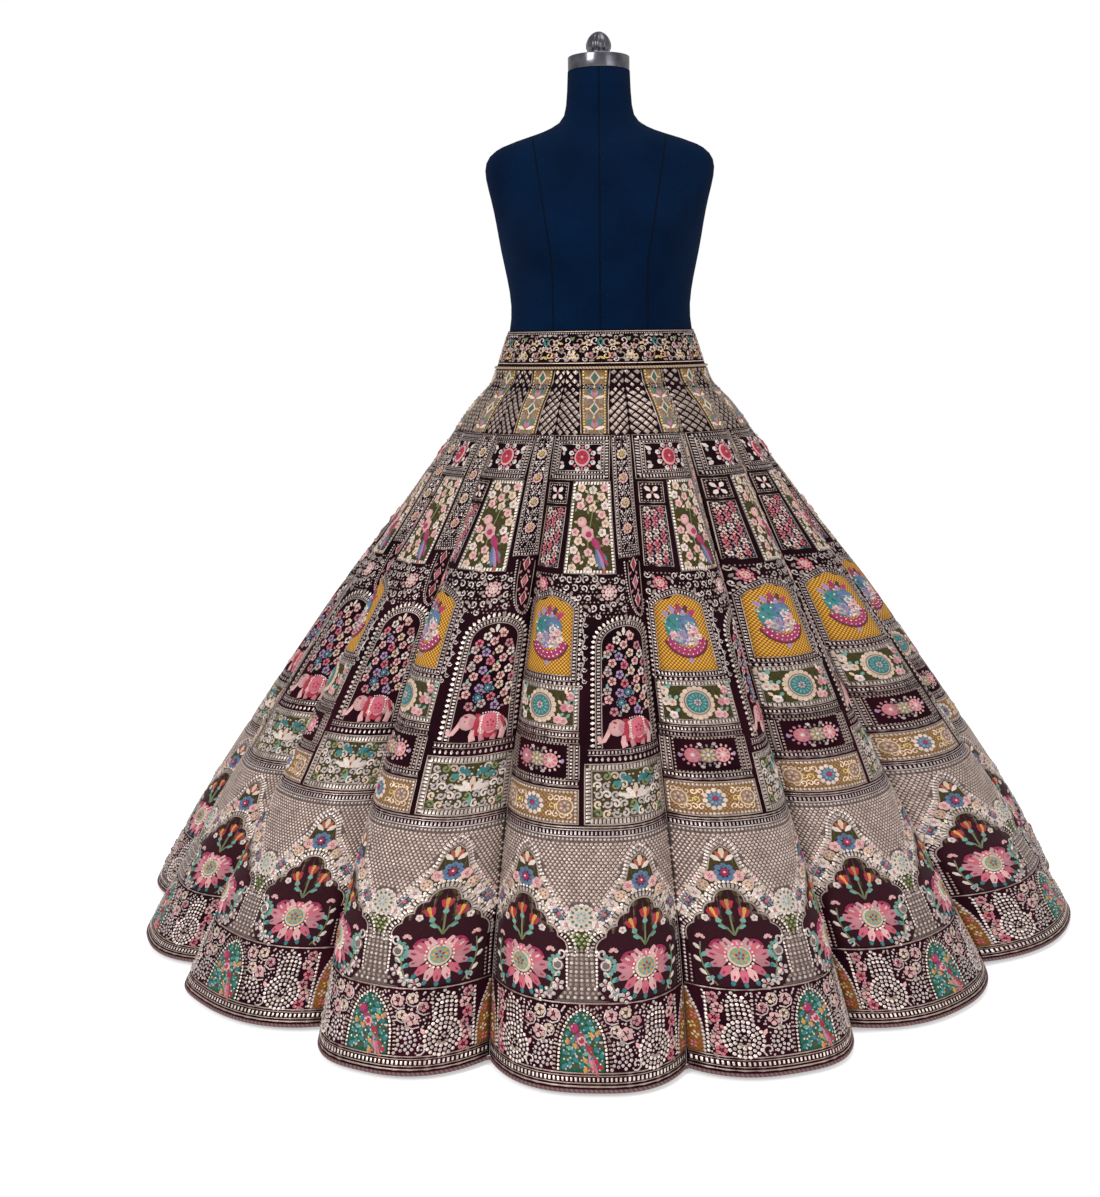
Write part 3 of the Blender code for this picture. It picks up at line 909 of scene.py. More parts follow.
# %% A bird on the spray
def bird(place, size, breast, wing, back, tail):
    """A resting bird with a round shoulder and a long tail."""
    def at(along, down):
        return array(place) + size * array((along, down))

    def feather(along, down, length, width, height, colour, turn):
        petal(at(along, down), (size * length, size * width, height), colour, turn)

    feather(0.30, 0.56, 0.32, 0.060, 2.2, tail, 1.2)
    feather(0.23, 0.54, 0.30, 0.060, 2.6, back, 1.32)
    feather(0.37, 0.50, 0.28, 0.055, 2.4, wing, 1.06)
    feather(0.40, 0.86, 0.08, 0.055, 2.6, "brick", 1.2)
    feather(-0.06, -0.10, 0.27, 0.165, 3.2, breast, 1.05)
    feather(0.16, 0.16, 0.22, 0.100, 3.8, wing, 1.0)
    disc(at(-0.20, -0.35), size * 0.125, breast, 3.0, steps=10)
    disc(at(-0.02, -0.03), size * 0.125, "blush", 2.0, steps=10)
    disc(at(-0.02, -0.03), size * 0.080, wing, 1.2, steps=8)
    feather(-0.36, -0.36, 0.07, 0.035, 2.6, "straw", 0.2)
    bead(at(-0.23, -0.38), (size * 0.025, 1.4), "black")


bird(within(olive, 0.48, 0.60), 70, "blush", "magenta", "blue", "lilac")
petal(within(olive, 0.80, 0.83), (8.5, 4.0, 2.0), "teal", DOWN - 0.3)
tell("upper panels")

# %% [markdown]
# A free field of scrolls and rosettes leads down to the arched windows: on the left a gold-checked niche
# with a potted plant, on the right a tall round-headed arch with flowers over a small elephant.


# %% The field of scrolls
def rosette(mid, radius, rim, body, core):
    """Rounded petals about a satin disc with a small star on it."""
    petals(mid, 9, radius * 0.52, radius, radius * 0.62, rim, height=2.2)
    disc(mid, radius * 0.58, body, 1.8, steps=10)
    petals(mid, 6, radius * 0.10, radius * 0.48, radius * 0.24, core, height=1.5, stamp="leaf")


for s, u, radius, turn, hand in (
    (374, -0.93, 6.4, 0, 1), (402, -0.92, 6.0, 1, 1), (374, -0.50, 6.2, 2, 1), (378, -0.38, 6.6, 0, -1),
    (376, -0.26, 6.8, 1, 1), (390, -0.30, 6.2, 3, -1), (377, -0.13, 6.8, 5, 1), (392, -0.17, 6.8, 4, 1),
    (407, -0.10, 6.0, 3, -1), (376, 0.00, 6.8, 2, 1), (392, -0.03, 6.6, 1, -1), (376, 0.13, 6.8, 5, 1),
    (391, 0.11, 6.2, 0, -1), (409, 0.04, 6.4, 3, 1), (424, 0.12, 6.4, 2, -1), (422, 0.26, 6.0, 1, 1),
    (438, 0.20, 5.8, 4, -1), (376, 0.26, 6.2, 0, 1), (377, 0.47, 6.4, 2, -1), (392, 0.54, 6.0, 0, 1),
    (419, 0.42, 6.0, 3, 1), (408, 0.57, 6.2, 5, -1), (426, 0.59, 6.0, 1, 1), (382, 0.58, 5.0, 1, -1),
):
    curl(spot(u, s), radius, turn, hand, "silver", 3.2, 9)
rosette(spot(-0.74, 388), 12.6, "pink", "blush", "brick")
rosette(spot(0.36, 398), 14.4, "blush", "ivory", "pink")
for u, s, turn in (
    (-0.90, 388, 2.4), (-0.60, 379, 3.8), (-0.57, 396, 0.8), (-0.22, 402, 5.0), (0.20, 404, 2.6),
    (0.48, 412, 5.4), (0.33, 420, 0.6), (0.02, 422, 3.4), (0.18, 384, 2.0), (0.60, 440, 1.6),
    (-0.84, 376, 1.0), (-0.84, 403, 2.2),
):
    petal(spot(u, s), (6.8, 3.6, 1.9), "zari", turn)
    petal(spot(u + 0.045, s + 6), (5.2, 3.0, 1.8), "silver", turn + 0.9)
cord(zari, arc_between(spot(0.04, 368), spot(0.26, 394), 0.10), 2.0)
fill_open(370, 392, -0.95, 0.60, 6.6, 2.2, "zari", "leaf")
fill_open(392, 440, -0.10, 0.66, 6.6, 2.2, "zari", "leaf")


# %% The gold niche
def niche_line(inset):
    """The niche's outline, clockwise from its left foot."""
    left_foot, right_foot = spot(-0.955, 541) + (inset, -inset), spot(-0.085, 541) + (-inset, -inset)
    left_shoulder = spot(-0.95, 424) + (inset, inset * 0.3)
    right_shoulder = spot(-0.085, 424) + (-inset, inset * 0.3)
    apex = spot(-0.51, 396) + (0, inset * 1.2)
    left_rise = arc_between(left_shoulder, apex, 0.09, 5)
    right_rise = arc_between(apex, right_shoulder, 0.09, 5)
    left_wall = left_foot + (left_shoulder - left_foot) * linspace(0, 1, 8)[:-1, None]
    right_wall = right_shoulder + (right_foot - right_shoulder) * linspace(0, 1, 8)[1:, None]
    floor = right_foot + (left_foot - right_foot) * linspace(0, 1, 7)[1:-1, None]
    return chain(left_wall, left_rise, right_rise[1:], right_wall, floor)


def rows_between(line, count):
    """Rows for a ground from a closed outline."""
    line = np.asarray(line)
    low, high = line[:, 1].min(), line[:, 1].max()
    closed = chain(line, line[:1])
    rows = []
    for s in linspace(low + 0.6, high - 0.6, count):
        hits = []
        for a, b in zip(closed[:-1], closed[1:]):
            if (a[1] - s) * (b[1] - s) < 0:
                hits.append(a[0] + (b[0] - a[0]) * (s - a[1]) / (b[1] - a[1]))
        if len(hits) > 1:
            rows.append((s, min(hits), max(hits)))
    return rows


ground(rows_between(niche_line(8.6), 12), "gold", 0.0)
cord(zari, niche_line(0.6), 2.0, "zari", True)
rungs(niche_line(4.4), 5.2, 6.2, 3.2, "silver", True)
cord(zari, niche_line(8.6), 2.2, "zari", True)
rungs(niche_line(-3.6), 7.6, 6.4, 6.4, "silver", True, stamp="petal")


# %% The potted plant in the niche
def potted_plant(mid, size):
    """A round teal bush with pale blossoms over a dotted magenta bowl."""
    def at(along, down):
        return array(mid) + size * array((along, down))

    for along, down, colour, lean in (
        (-0.46, -0.62, "lilac", 2.5), (-0.24, -0.78, "lilac", 2.0), (0.00, -0.86, "magenta", 1.6),
        (0.22, -0.80, "wine", 1.2), (0.42, -0.66, "magenta", 0.8), (0.12, -0.64, "lilac", 1.3),
        (-0.12, -0.62, "magenta", 1.9),
    ):
        petal(at(along, down), (size * 0.20, size * 0.11, 2.2), colour, -lean)
    disc(at(-0.16, -0.12), size * 0.46, "teal", 1.2, squash=1.2)
    disc(at(0.20, -0.26), size * 0.34, "blue", 1.0, steps=10)
    for step in range(26):
        turn, reach = step * 2.4, 0.115 * sqrt(step + 0.4)
        place = at(-0.06 + reach * cos(turn), -0.20 + reach * 1.1 * sin(turn))
        leaf(place, (size * 0.11, size * 0.045, 1.7), ("green", "sea", "blue", "teal")[step % 4], turn + 0.8)
        if step % 2:
            bead(place + (2.6, 2.2), (1.7, 2.8), "ivory")

    def bowl(reach, count=12, start=0.25):
        return circle(at(0.04, 0.14), size * reach, count, start, pi - 2 * start, 0.98)

    cord(silk, bowl(0.60, 12, 0.18), size * 0.34, "magenta", height=2.6)
    cord(silk, bowl(0.75), size * 0.08, "wine", height=2.2)
    for reach, count in ((0.52, 9), (0.66, 12)):
        bead(bowl(reach, count), (1.8, 4.2), "ivory")
    for step, (along, down) in enumerate((
        (0.38, -0.06), (0.46, 0.16), (0.06, 0.14), (-0.24, 0.22), (0.24, 0.10), (0.14, 0.32),
        (-0.06, 0.36), (0.32, 0.34), (-0.38, 0.12), (0.20, -0.16), (-0.10, 0.04),
    )):
        colour = ("blush", "ivory", "lilac", "silver")[step % 4]
        flower(at(along, down), size * 0.155, colour, "rose", along * 5)
    petal(at(0.02, 0.96), (size * 0.12, size * 0.09, 2.0), "lilac", DOWN)


potted_plant(spot(-0.51, 470), 46)
CHAIN = -0.012  # share across
wave = [spot(CHAIN, s) + (2.4 * sin((s - 430) / 5.6), 0) for s in arange(430, 540, 4.0)]
cord(zari, wave, 2.0, "silver", height=1.4)
for s in arange(434, 540, 17.6):
    for drop, lean in ((0.0, 1), (8.8, -1)):
        curl(spot(CHAIN, s) + (lean * 2.6, drop), 4.6, 1.57 - lean * 1.57, lean, "silver", 2.2, 7)

# %% The medallion square
medal = Quad(548, 614, -0.96, -0.05, -0.955, -0.05)
bed(medal, "olive")
cord_frame(medal)
rung_frame(medal, 3.4, 5.4, 4.6, 3.4)
cord_frame(medal, 6.8, 1.8, "ash")
mid = spot(-0.51, 581)
petals(mid, 18, 19.0, 26.5, 9.2, "cream", height=2.2)
disc(mid, 21.5, "cream", 1.3, steps=18)
cord(silk, circle(mid, 18.4, 18), 2.0, "taupe", True)
disc(mid, 16.2, "teal", 1.0, steps=16)
petals(mid, 14, 6.4, 15.4, 2.9, "sea", height=1.4, stamp="leaf")
petals(mid, 7, 1.4, 6.0, 3.4, "blush", height=2.2)
for step in range(14):
    across = ((0.105, 0.185, 0.265), (0.895, 0.815, 0.735))[step % 2][step // 2 % 3]
    down = (0.22, 0.50, 0.78, 0.26, 0.80, 0.50, 0.5)[step // 2]
    place = within(medal, across, down)
    if norm(place - mid) > 33:
        flower(place, 6.8, ("ivory", "blush", "cream", "rose")[step % 4], "rose", step)
        for lean in (-1, 1):
            petal(place + (lean * 6.5, -7.5), (4.6, 2.6, 1.9), ("cream", "sea")[lean > 0], -1.57 + lean * 0.7)

# %% Ladder bands, the dark panel and the gold panel
for s, rung in ((621, "silver"), (629.5, "ash"), (690.5, "silver")):
    ladder(cross_line(s, -0.985, -0.035, 7), 7.4, 5.2, "zari", rung)
cord(zari, cross_line(695.8, -0.985, -0.035, 7), 1.8, "ash")
dark = Quad(637, 683, -0.83, -0.17, -0.83, -0.17)
bead_frame(dark, colour="zari", inset=-2.0)
for u in (-0.115, -0.055, -0.90, -0.96):
    ladder(down_line(u, 635, 685, 5), 6.4, 5.2)
for along, colour, rim in ((0.26, "pink", "rose"), (0.74, "pink", "blush"), (0.50, "straw", "ash")):
    place = within(dark, along, 0.5)
    petals(place, 12, 11.0, 17.0, 4.6, rim, height=2.2)
    disc(place, 11.2, rim, 1.2, steps=12)
    petals(place, 8, 3.4, 10.4, 4.2, colour, height=1.8)
    knot(place, (3.2, 2.6), "ivory")
for along, down in ((0.06, 0.5), (0.94, 0.5), (0.385, 0.14), (0.385, 0.86), (0.615, 0.14), (0.615, 0.86)):
    petal(within(dark, along, down), (4.6, 3.2, 1.8), "lilac" if down == 0.5 else "silver", (0.5 - along) * 3)

gilt = Quad(700, 748, -0.985, -0.035, -0.985, -0.035)
bed(gilt, "ochre", kind=0.25)
cord_frame(gilt)
bead_frame(gilt, 5.2, 2.2, "silver", 3.4)
mid = within(gilt, 0.50, 0.5)
for step in range(13):
    for row, down in enumerate((0.27, 0.5, 0.73)):
        place = within(gilt, 0.085 + step * 0.068 + (row % 2) * 0.02, down)
        if norm(place - mid) > 20 and abs(place[0] - mid[0]) < 52:
            hand, colour = (-1, 1)[(step + row) % 2], ("cream", "straw", "cream")[row]
            curl(place, 5.4, step * 1.9 + row * 2.1, hand, colour, 1.9, 7)
petals(mid, 11, 9.0, 16.5, 7.2, "ivory", height=2.4)
disc(mid, 9.6, "blue", 1.6, steps=12)
petals(mid, 8, 3.6, 9.2, 3.0, "sea", height=1.4, stamp="leaf")
disc(mid, 4.2, "magenta", 1.2, steps=8)
for along in (0.14, 0.86):
    place = within(gilt, along, 0.5)
    disc(place, 10.5, "ochre", 0.9, steps=12)
    cord(silk, circle(place, 11.0, 12), 2.4, "cream", True)
    petals(place, 6, 2.0, 7.8, 4.4, "blush", height=2.0)
    knot(place, (2.6, 3.0), "teal")
tell("left half")

# %% [markdown]
# The right half is one tall window. Its outer fringe is a row of bead teardrops that point outward, and
# inside it, on the bare dark velvet, flower sprays hang above a small elephant in a red blanket.


# %% The tall arch
def arch_line(outward):
    """The tall arch from foot to foot, widened outward in mm."""
    head = 484.0
    left, right = spot(0.215, 636)[0] - outward, spot(0.88, 636)[0] + outward
    top_left, top_right = spot(0.225, head)[0] - outward, spot(0.85, head)[0] + outward
    walls = linspace(0, 1, 12)
    up = abreast(left + (top_left - left) * walls, 640 - (640 - head) * walls)
    mid, half = (top_left + top_right) / 2, (top_right - top_left) / 2
    turns = linspace(pi, tau, 15)[1:-1]
    over = abreast(mid + half * np.cos(turns), head + (30 + outward) * np.sin(turns))
    down = abreast(top_right + (right - top_right) * walls, head + (640 - head) * walls)
    return chain(up, over, down)


cord(zari, arch_line(0), 2.2)
rungs(arch_line(4.4), 5.0, 6.4, 3.2)
cord(zari, arch_line(8.8), 2.2)
rungs(arch_line(14.0), 8.2, 10.5, 6.8, "ivory", stamp="petal")
top = spot(0.54, 463)
petal(top, (8.0, 3.8, 2.2), "ivory", UP)
for side in (-1, 1):
    petal(top + (side * 7.4, 3.5), (7.0, 3.4, 2.1), "cream", UP + side * 0.9)
spray = [(s, u) for s, shares in (
    (474, (0.43, 0.64)), (486, (0.34, 0.53, 0.73)), (500, (0.30, 0.45, 0.61, 0.77)),
    (514, (0.36, 0.52, 0.68, 0.82)), (528, (0.30, 0.45, 0.61, 0.77)), (542, (0.35, 0.51, 0.68, 0.83)),
    (556, (0.29, 0.44, 0.68, 0.81)), (570, (0.30, 0.60, 0.76)), (584, (0.36, 0.50, 0.66, 0.82)),
) for u in shares]
for step, (s, u) in enumerate(spray):
    colour = ("ivory", "blush", "lilac", "blush", "rose", "cream", "pink", "silver")[step * 3 % 8]
    place = spot(u, s) + (0, 2.0 * (-1) ** step)
    flower(place, 7.6, colour, "brick" if step % 2 else "wine", step)
    leaf(place + (8.0 * (-1) ** step, 6.0), (4.2, 2.4, 1.8), ("silver", "rose", "sea")[step % 3], 0.6 + step)
for s, u in ((558, 0.545), (573, 0.45)):
    place, radius = spot(u, s), 8.4
    petals(place, 9, radius * 0.62, radius, radius * 5.2 / 9, "blue")
    disc(place, radius * 0.62, "teal", 0.55, steps=10)
    petals(place, 6, radius * 0.2, radius * 0.52, radius * 0.26, "blue", height=1.9, stamp="leaf")
    knot(place, (radius * 0.2, 2.2), "ivory")


# %% The elephant
def walking_elephant(place, size):
    """A walking elephant in a blanket, its trunk to the left."""
    def at(along, down):
        return array(place) + size * array((1.16 * along, down))

    def limb(path, width, colour, height=2.3):
        cord(silk, array([at(*step) for step in path]), size * width, colour, height=height)

    limb(((-0.58, -0.10), (-0.66, 0.08), (-0.74, 0.24), (-0.84, 0.28), (-0.86, 0.14)), 0.15, "blush")
    limb(((-0.20, 0.12), (-0.24, 0.30), (-0.20, 0.46)), 0.22, "blush")
    limb(((0.00, 0.14), (0.00, 0.30), (0.04, 0.46)), 0.18, "rose")
    limb(((0.36, 0.12), (0.34, 0.30), (0.31, 0.46)), 0.20, "rose")
    limb(((0.53, 0.06), (0.57, 0.28), (0.54, 0.46)), 0.22, "blush")
    limb(((0.60, -0.14), (0.68, 0.06), (0.65, 0.24)), 0.06, "silver")
    disc(at(0.16, -0.06), size * 0.52, "blush", 1.8, squash=0.64)
    disc(at(-0.40, -0.14), size * 0.27, "blush", 2.2, squash=0.98, steps=12)
    petal(at(-0.30, -0.12), (size * 0.18, size * 0.13, 2.0), "rose", 1.2)
    leaf(at(-0.46, -0.28), (size * 0.10, size * 0.05, 1.4), "red", 0.3)
    disc(at(0.18, -0.10), size * 0.29, "pink", 0.8, squash=1.1, steps=12)
    limb(((-0.14, -0.38), (-0.20, -0.08), (-0.12, 0.30)), 0.22, "red", 1.8)
    limb(((0.44, -0.26), (0.54, -0.04), (0.58, 0.16)), 0.10, "red", 1.6)
    limb(((0.06, 0.25), (0.20, 0.30), (0.40, 0.22)), 0.20, "red", 1.8)
    for path in (
        ((-0.03, -0.36), (-0.05, 0.0), (-0.01, 0.26)), ((0.34, -0.32), (0.39, -0.04), (0.37, 0.26)),
        ((-0.08, -0.40), (0.14, -0.43), (0.40, -0.33)),
    ):
        bead_row(array([at(*step) for step in path]), 4.0, 1.6, "ivory")
    petals(at(0.18, -0.06), 5, 1.2, size * 0.14, size * 0.09, "red", height=1.4)
    knot(at(-0.48, -0.14), (1.4, 1.4), "wine")


walking_elephant(spot(0.56, 617), 49)

# %% The foot of the arch and the lotus panel
rail = cross_line(646, 0.06, 0.985, 7)
ladder(rail, 7.6, 5.2)
rungs(rail + (0, 9.4), 8.0, 8.5, 5.4, "silver", stamp="petal")
lotus_quad = Quad(663, 748, 0.03, 0.985, 0.03, 0.985)
bed(lotus_quad, "olive")
cord_frame(lotus_quad)
rung_frame(lotus_quad, 4.6, 5.2, 6.6, 3.4)
cord_frame(lotus_quad, 9.2, 2.0)
mid = within(lotus_quad, 0.55, 0.50)
for row, down in enumerate(linspace(0.20, 0.82, 5)):
    for column, across in enumerate(linspace(0.14, 0.88, 9)):
        place = within(lotus_quad, across, down)
        off = place - mid
        if abs(off[0]) > 15 or off[1] > 10:
            hand = 1 if column < 4 else -1
            turn = abs(column - 4) * 1.7 + row * 2.3
            colour = ("ivory", "silver", "cream", "moss", "silver")[(row + abs(column - 4)) % 5]
            curl(place, 6.4, turn if hand > 0 else pi - turn, hand, colour, 3.2, 8, silk)
fill_open(674, 738, 0.13, 0.90, 5.6, 2.2, "silver", "leaf")
for side in (-1, 1):
    for reach, rise, lean in ((9, -19, 0.75), (17, -22, 0.2), (24, -14, 1.3)):
        petal(mid + (side * reach, rise), (8.6, 5.0, 2.4), "teal", UP + side * lean)
    for lean, reach, size in ((1.25, 14.5, 13.5), (0.72, 10.5, 11.0)):
        place = mid + (side * reach * sin(lean), 8 - reach * cos(lean))
        petal(place, (size, 4.6, 3.0), "ivory", UP + side * lean)
petal(mid + (0, -3), (11.5, 4.6, 3.6), "cream", UP)
petal(mid + (0, 2), (5.0, 2.2, 4.2), "brick", UP)
petal(mid + (0, 22), (8.5, 3.6, 2.2), "sea", DOWN)
tell("right half")

# %% [markdown]
# A double band closes the panels. Below it lies a fine beaded net, and in the net two crowned arches rise
# on either side of a beaded pillar. The arches hold maroon velvet with a large plant worked in pink.


# %% The double band
ground([(764, -200, 200), (893, -200, 200)], "mouse")
cord(zari, cross_line(752.0), 3.0)
ladder(cross_line(760.0), 9.0, 5.2, "silver", "silver")
bead_row(cross_line(768.5), 5.2, 2.0)

# %% Crowns and arches: their outlines
ARCH_MIDDLE = 0.54
FOIL_KNOTS = [(-58, 922), (-47, 898), (-33, 884), (-18, 867), (0, 850)]  # where the lobes meet, in mm


def foil_line(side, outward=0.0):
    """The many-lobed arch from foot to foot, widened outward in mm."""
    path = []
    for a, b in zip(FOIL_KNOTS[:-1], FOIL_KNOTS[1:]):
        path += list(arc_between(a, b, 0.22, 6)[:-1])
    path.append(FOIL_KNOTS[-1])
    half = array(path, float)
    line = chain(half, half[::-1][1:] * (-1, 1))
    way = unit(np.gradient(line, axis=0))
    line = line + outward * abreast(way[:, 1], -way[:, 0])
    squeeze = np.where(line[:, :1] * side > 0, 0.95, 1.0)
    mid = side * ARCH_MIDDLE * half_cut(line[:, 1])
    return abreast(mid + line[:, 0] * squeeze[:, 0], line[:, 1])


def crown_half(s):
    """Half the width in mm of the crown round an arch."""
    at = (791, 797, 806, 822, 838, 850, 862, 876, 890, 905)
    return interp(s, at, (2, 10, 15, 19, 30, 38, 46, 56, 62, 64))


# %% The beaded net
net_rows, net_across = np.meshgrid(arange(775, 905, 4.2), arange(-28, 29), indexing="ij")
net_x = net_across * 6.0 + np.where((arange(net_rows.shape[0]) % 2)[:, None] == 1, 3.0, 0.0)
net = abreast(net_x, net_rows).reshape(-1, 2)
to_arch = np.abs(np.abs(net[:, 0]) - ARCH_MIDDLE * half_cut(net[:, 1]))
to_medallion = norm(net - (0, 873), axis=1)
open_net = (to_arch > crown_half(net[:, 1]) + 10.0) & (to_medallion > 22)
open_net |= net[:, 1] < 782  # the rows above the crowns run right across
bead(net[open_net], (2.45, 2.3, 2.2), "pearly")
print("beads in the net:", int(open_net.sum()))

# %% The crowns
CROWN_SLANTS = (797, 806, 822, 838, 850, 862, 876, 893)


def crown_edge(side, hand, slants):
    """Places down the left or right edge of a crown."""
    return [(side * ARCH_MIDDLE * half_cut(s) + hand * crown_half(s), s) for s in slants]


for side in (-1, 1):
    rows = (791, *CROWN_SLANTS)
    ground([(s, left, right) for (left, s), (right, _) in
            zip(crown_edge(side, -1, rows), crown_edge(side, 1, rows))], "olive")
ground([(s, -w, w) for s, w in ((868, 22), (885, 24), (900, 17), (912, 9), (918, 3))], "olive")
for side in (-1, 1):
    centre = side * ARCH_MIDDLE
    top = [(centre * half_cut(791), 789.5)]
    rim = array(crown_edge(side, -1, CROWN_SLANTS[::-1]) + top + crown_edge(side, 1, CROWN_SLANTS))
    swell = array([centre * half_cut(840), 868])
    cord(zari, rim, 2.0)
    rungs(swell + (rim - swell) * 1.075, 5.0, 5.0, 2.9)
    bead_row(swell + (rim - swell) * 1.16, 5.2, 2.1, "ivory")
    petal(spot(centre, 800), (8.5, 4.4, 2.2), "cream", UP)
    for lean in (-1, 1):
        petal(spot(centre, 807) + (lean * 8.0, 0), (8.0, 3.8, 2.1), "ivory", UP + lean * 0.95)
        petal(spot(centre, 803) + (lean * 4.4, 0), (7.4, 3.0, 1.9), "brick", UP + lean * 0.5)
    bloom = spot(centre, 827)
    petals(bloom, 8, 5.0, 14.0, 9.4, "blue", height=2.4)
    petals(bloom, 8, 6.0, 12.0, 4.6, "teal", height=3.0)
    disc(bloom, 5.4, "magenta", 2.2, steps=8)
    bead(bloom, (1.8, 1.6), "ivory")
    for lean in (-1, 1):
        for step, (reach, s) in enumerate(((17, 838), (27, 851), (38, 863), (48, 875), (57, 889))):
            place = spot(centre, s) + (lean * reach, -6)
            if step == 1:
                disc(place, 8.0, "cream", 1.6, steps=10)
                petals(place, 6, 1.6, 6.2, 3.0, "brick", height=1.4, stamp="leaf")
            elif step == 3:
                petals(place, 7, 3.4, 8.4, 5.0, "blue")
                knot(place, (3.0, 2.4), "pink")
            else:
                flower(place, 8.2, "ivory" if step else "blush", "rose", step + lean)
            colour = ("cream", "blush")[step % 2]
            petal(place + (lean * 7.5, -6.0), (5.6, 3.4, 2.0), colour, 1.57 - lean * 2.2)
            petal(place + (-lean * 6.5, 6.0), (5.2, 3.0, 1.9), "cream", 1.57 + lean * 0.8)

# %% The lobed arches on maroon velvet
for side in (-1, 1):
    line = foil_line(side)
    closed = chain(line, [(line[-1][0], 978.0), (line[0][0], 978.0)])
    ground(rows_between(closed, 14), "claret")
    cord(zari, foil_line(side, 1.0), 2.4)
    rungs(foil_line(side, 5.4), 5.0, 6.0, 3.2)
    bead_row(foil_line(side, 11.0), 5.0, 2.3, "ivory")
    foot = line[0 if side > 0 else -1]
    curl(foot + (side * 5.5, -3), 7.0, 1.0 if side > 0 else 2.2, side, "silver", 2.8, 9)

# %% The pillar between the arches
ground([(912, -14, 14), (928, -16, 16), (958, -17, 17), (968, -24, 24), (979, -34, 34)], "mouse")
for step, s in enumerate(arange(915, 978, 5.3)):
    wide = interp(s, (912, 960, 979), (11, 14, 30))
    count = 5 + 2 * (s > 966)
    places = abreast(linspace(-wide, wide, count), np.full(count, s))
    bead(places, (2.5, 2.4, 2.4), "silver" if step % 2 else "zari")
for side in (-1, 1):
    bead_row(array([(side * 18.0, s) for s in (914, 930, 946, 962)]), 5.0, 2.4, "ivory")
    mid = array((side * 29.0, 934.0))
    petals(mid, 7, 7.0, 14.5, 6.6, "sea", start=UP if side > 0 else DOWN, sweep=pi, height=2.4)
    disc(mid, 7.6, "taupe", 1.2, steps=10)
    cord(zari, circle(mid, 5.6, 9), 2.4, "silver", True)
    for reach, s, turn in ((29, 958, -0.5), (40, 969, 0.2), (53, 974, -1.1)):
        petals((side * reach, s), 5, 1.5, 8.6, 5.4, "silver", start=turn, layer=zari, height=2.2)
        knot((side * reach, s), (1.9, 2.8), "pink")
medallion = array((0.0, 873.0))
petals(medallion, 16, 13.0, 18.5, 7.0, "ivory", height=2.2)
disc(medallion, 14.6, "cream", 1.4, steps=16)
petals(medallion, 12, 9.0, 14.0, 4.2, "teal", height=1.6)
disc(medallion, 8.2, "ivory", 1.0, steps=10)
petals(medallion, 7, 2.0, 7.2, 3.0, "sea", height=1.6, stamp="leaf")
pad_grid = array([(x + 3.5 * (row % 2), 896 + 5 * row) for row in range(4) for x in arange(-17, 18, 7)])
pad_grid = pad_grid[np.abs(pad_grid[:, 0]) < interp(pad_grid[:, 1], (890, 915), (19, 4))]
stitch(zari, "lozenge", pad_grid, (3.0, 1.6), "moss")

# %% [markdown]
# Inside each arch stands one large plant: a full pink lotus bush tied with magenta bands over a blanket
# of small flowers, with three red and gold tulip buds on a forked stem above it.


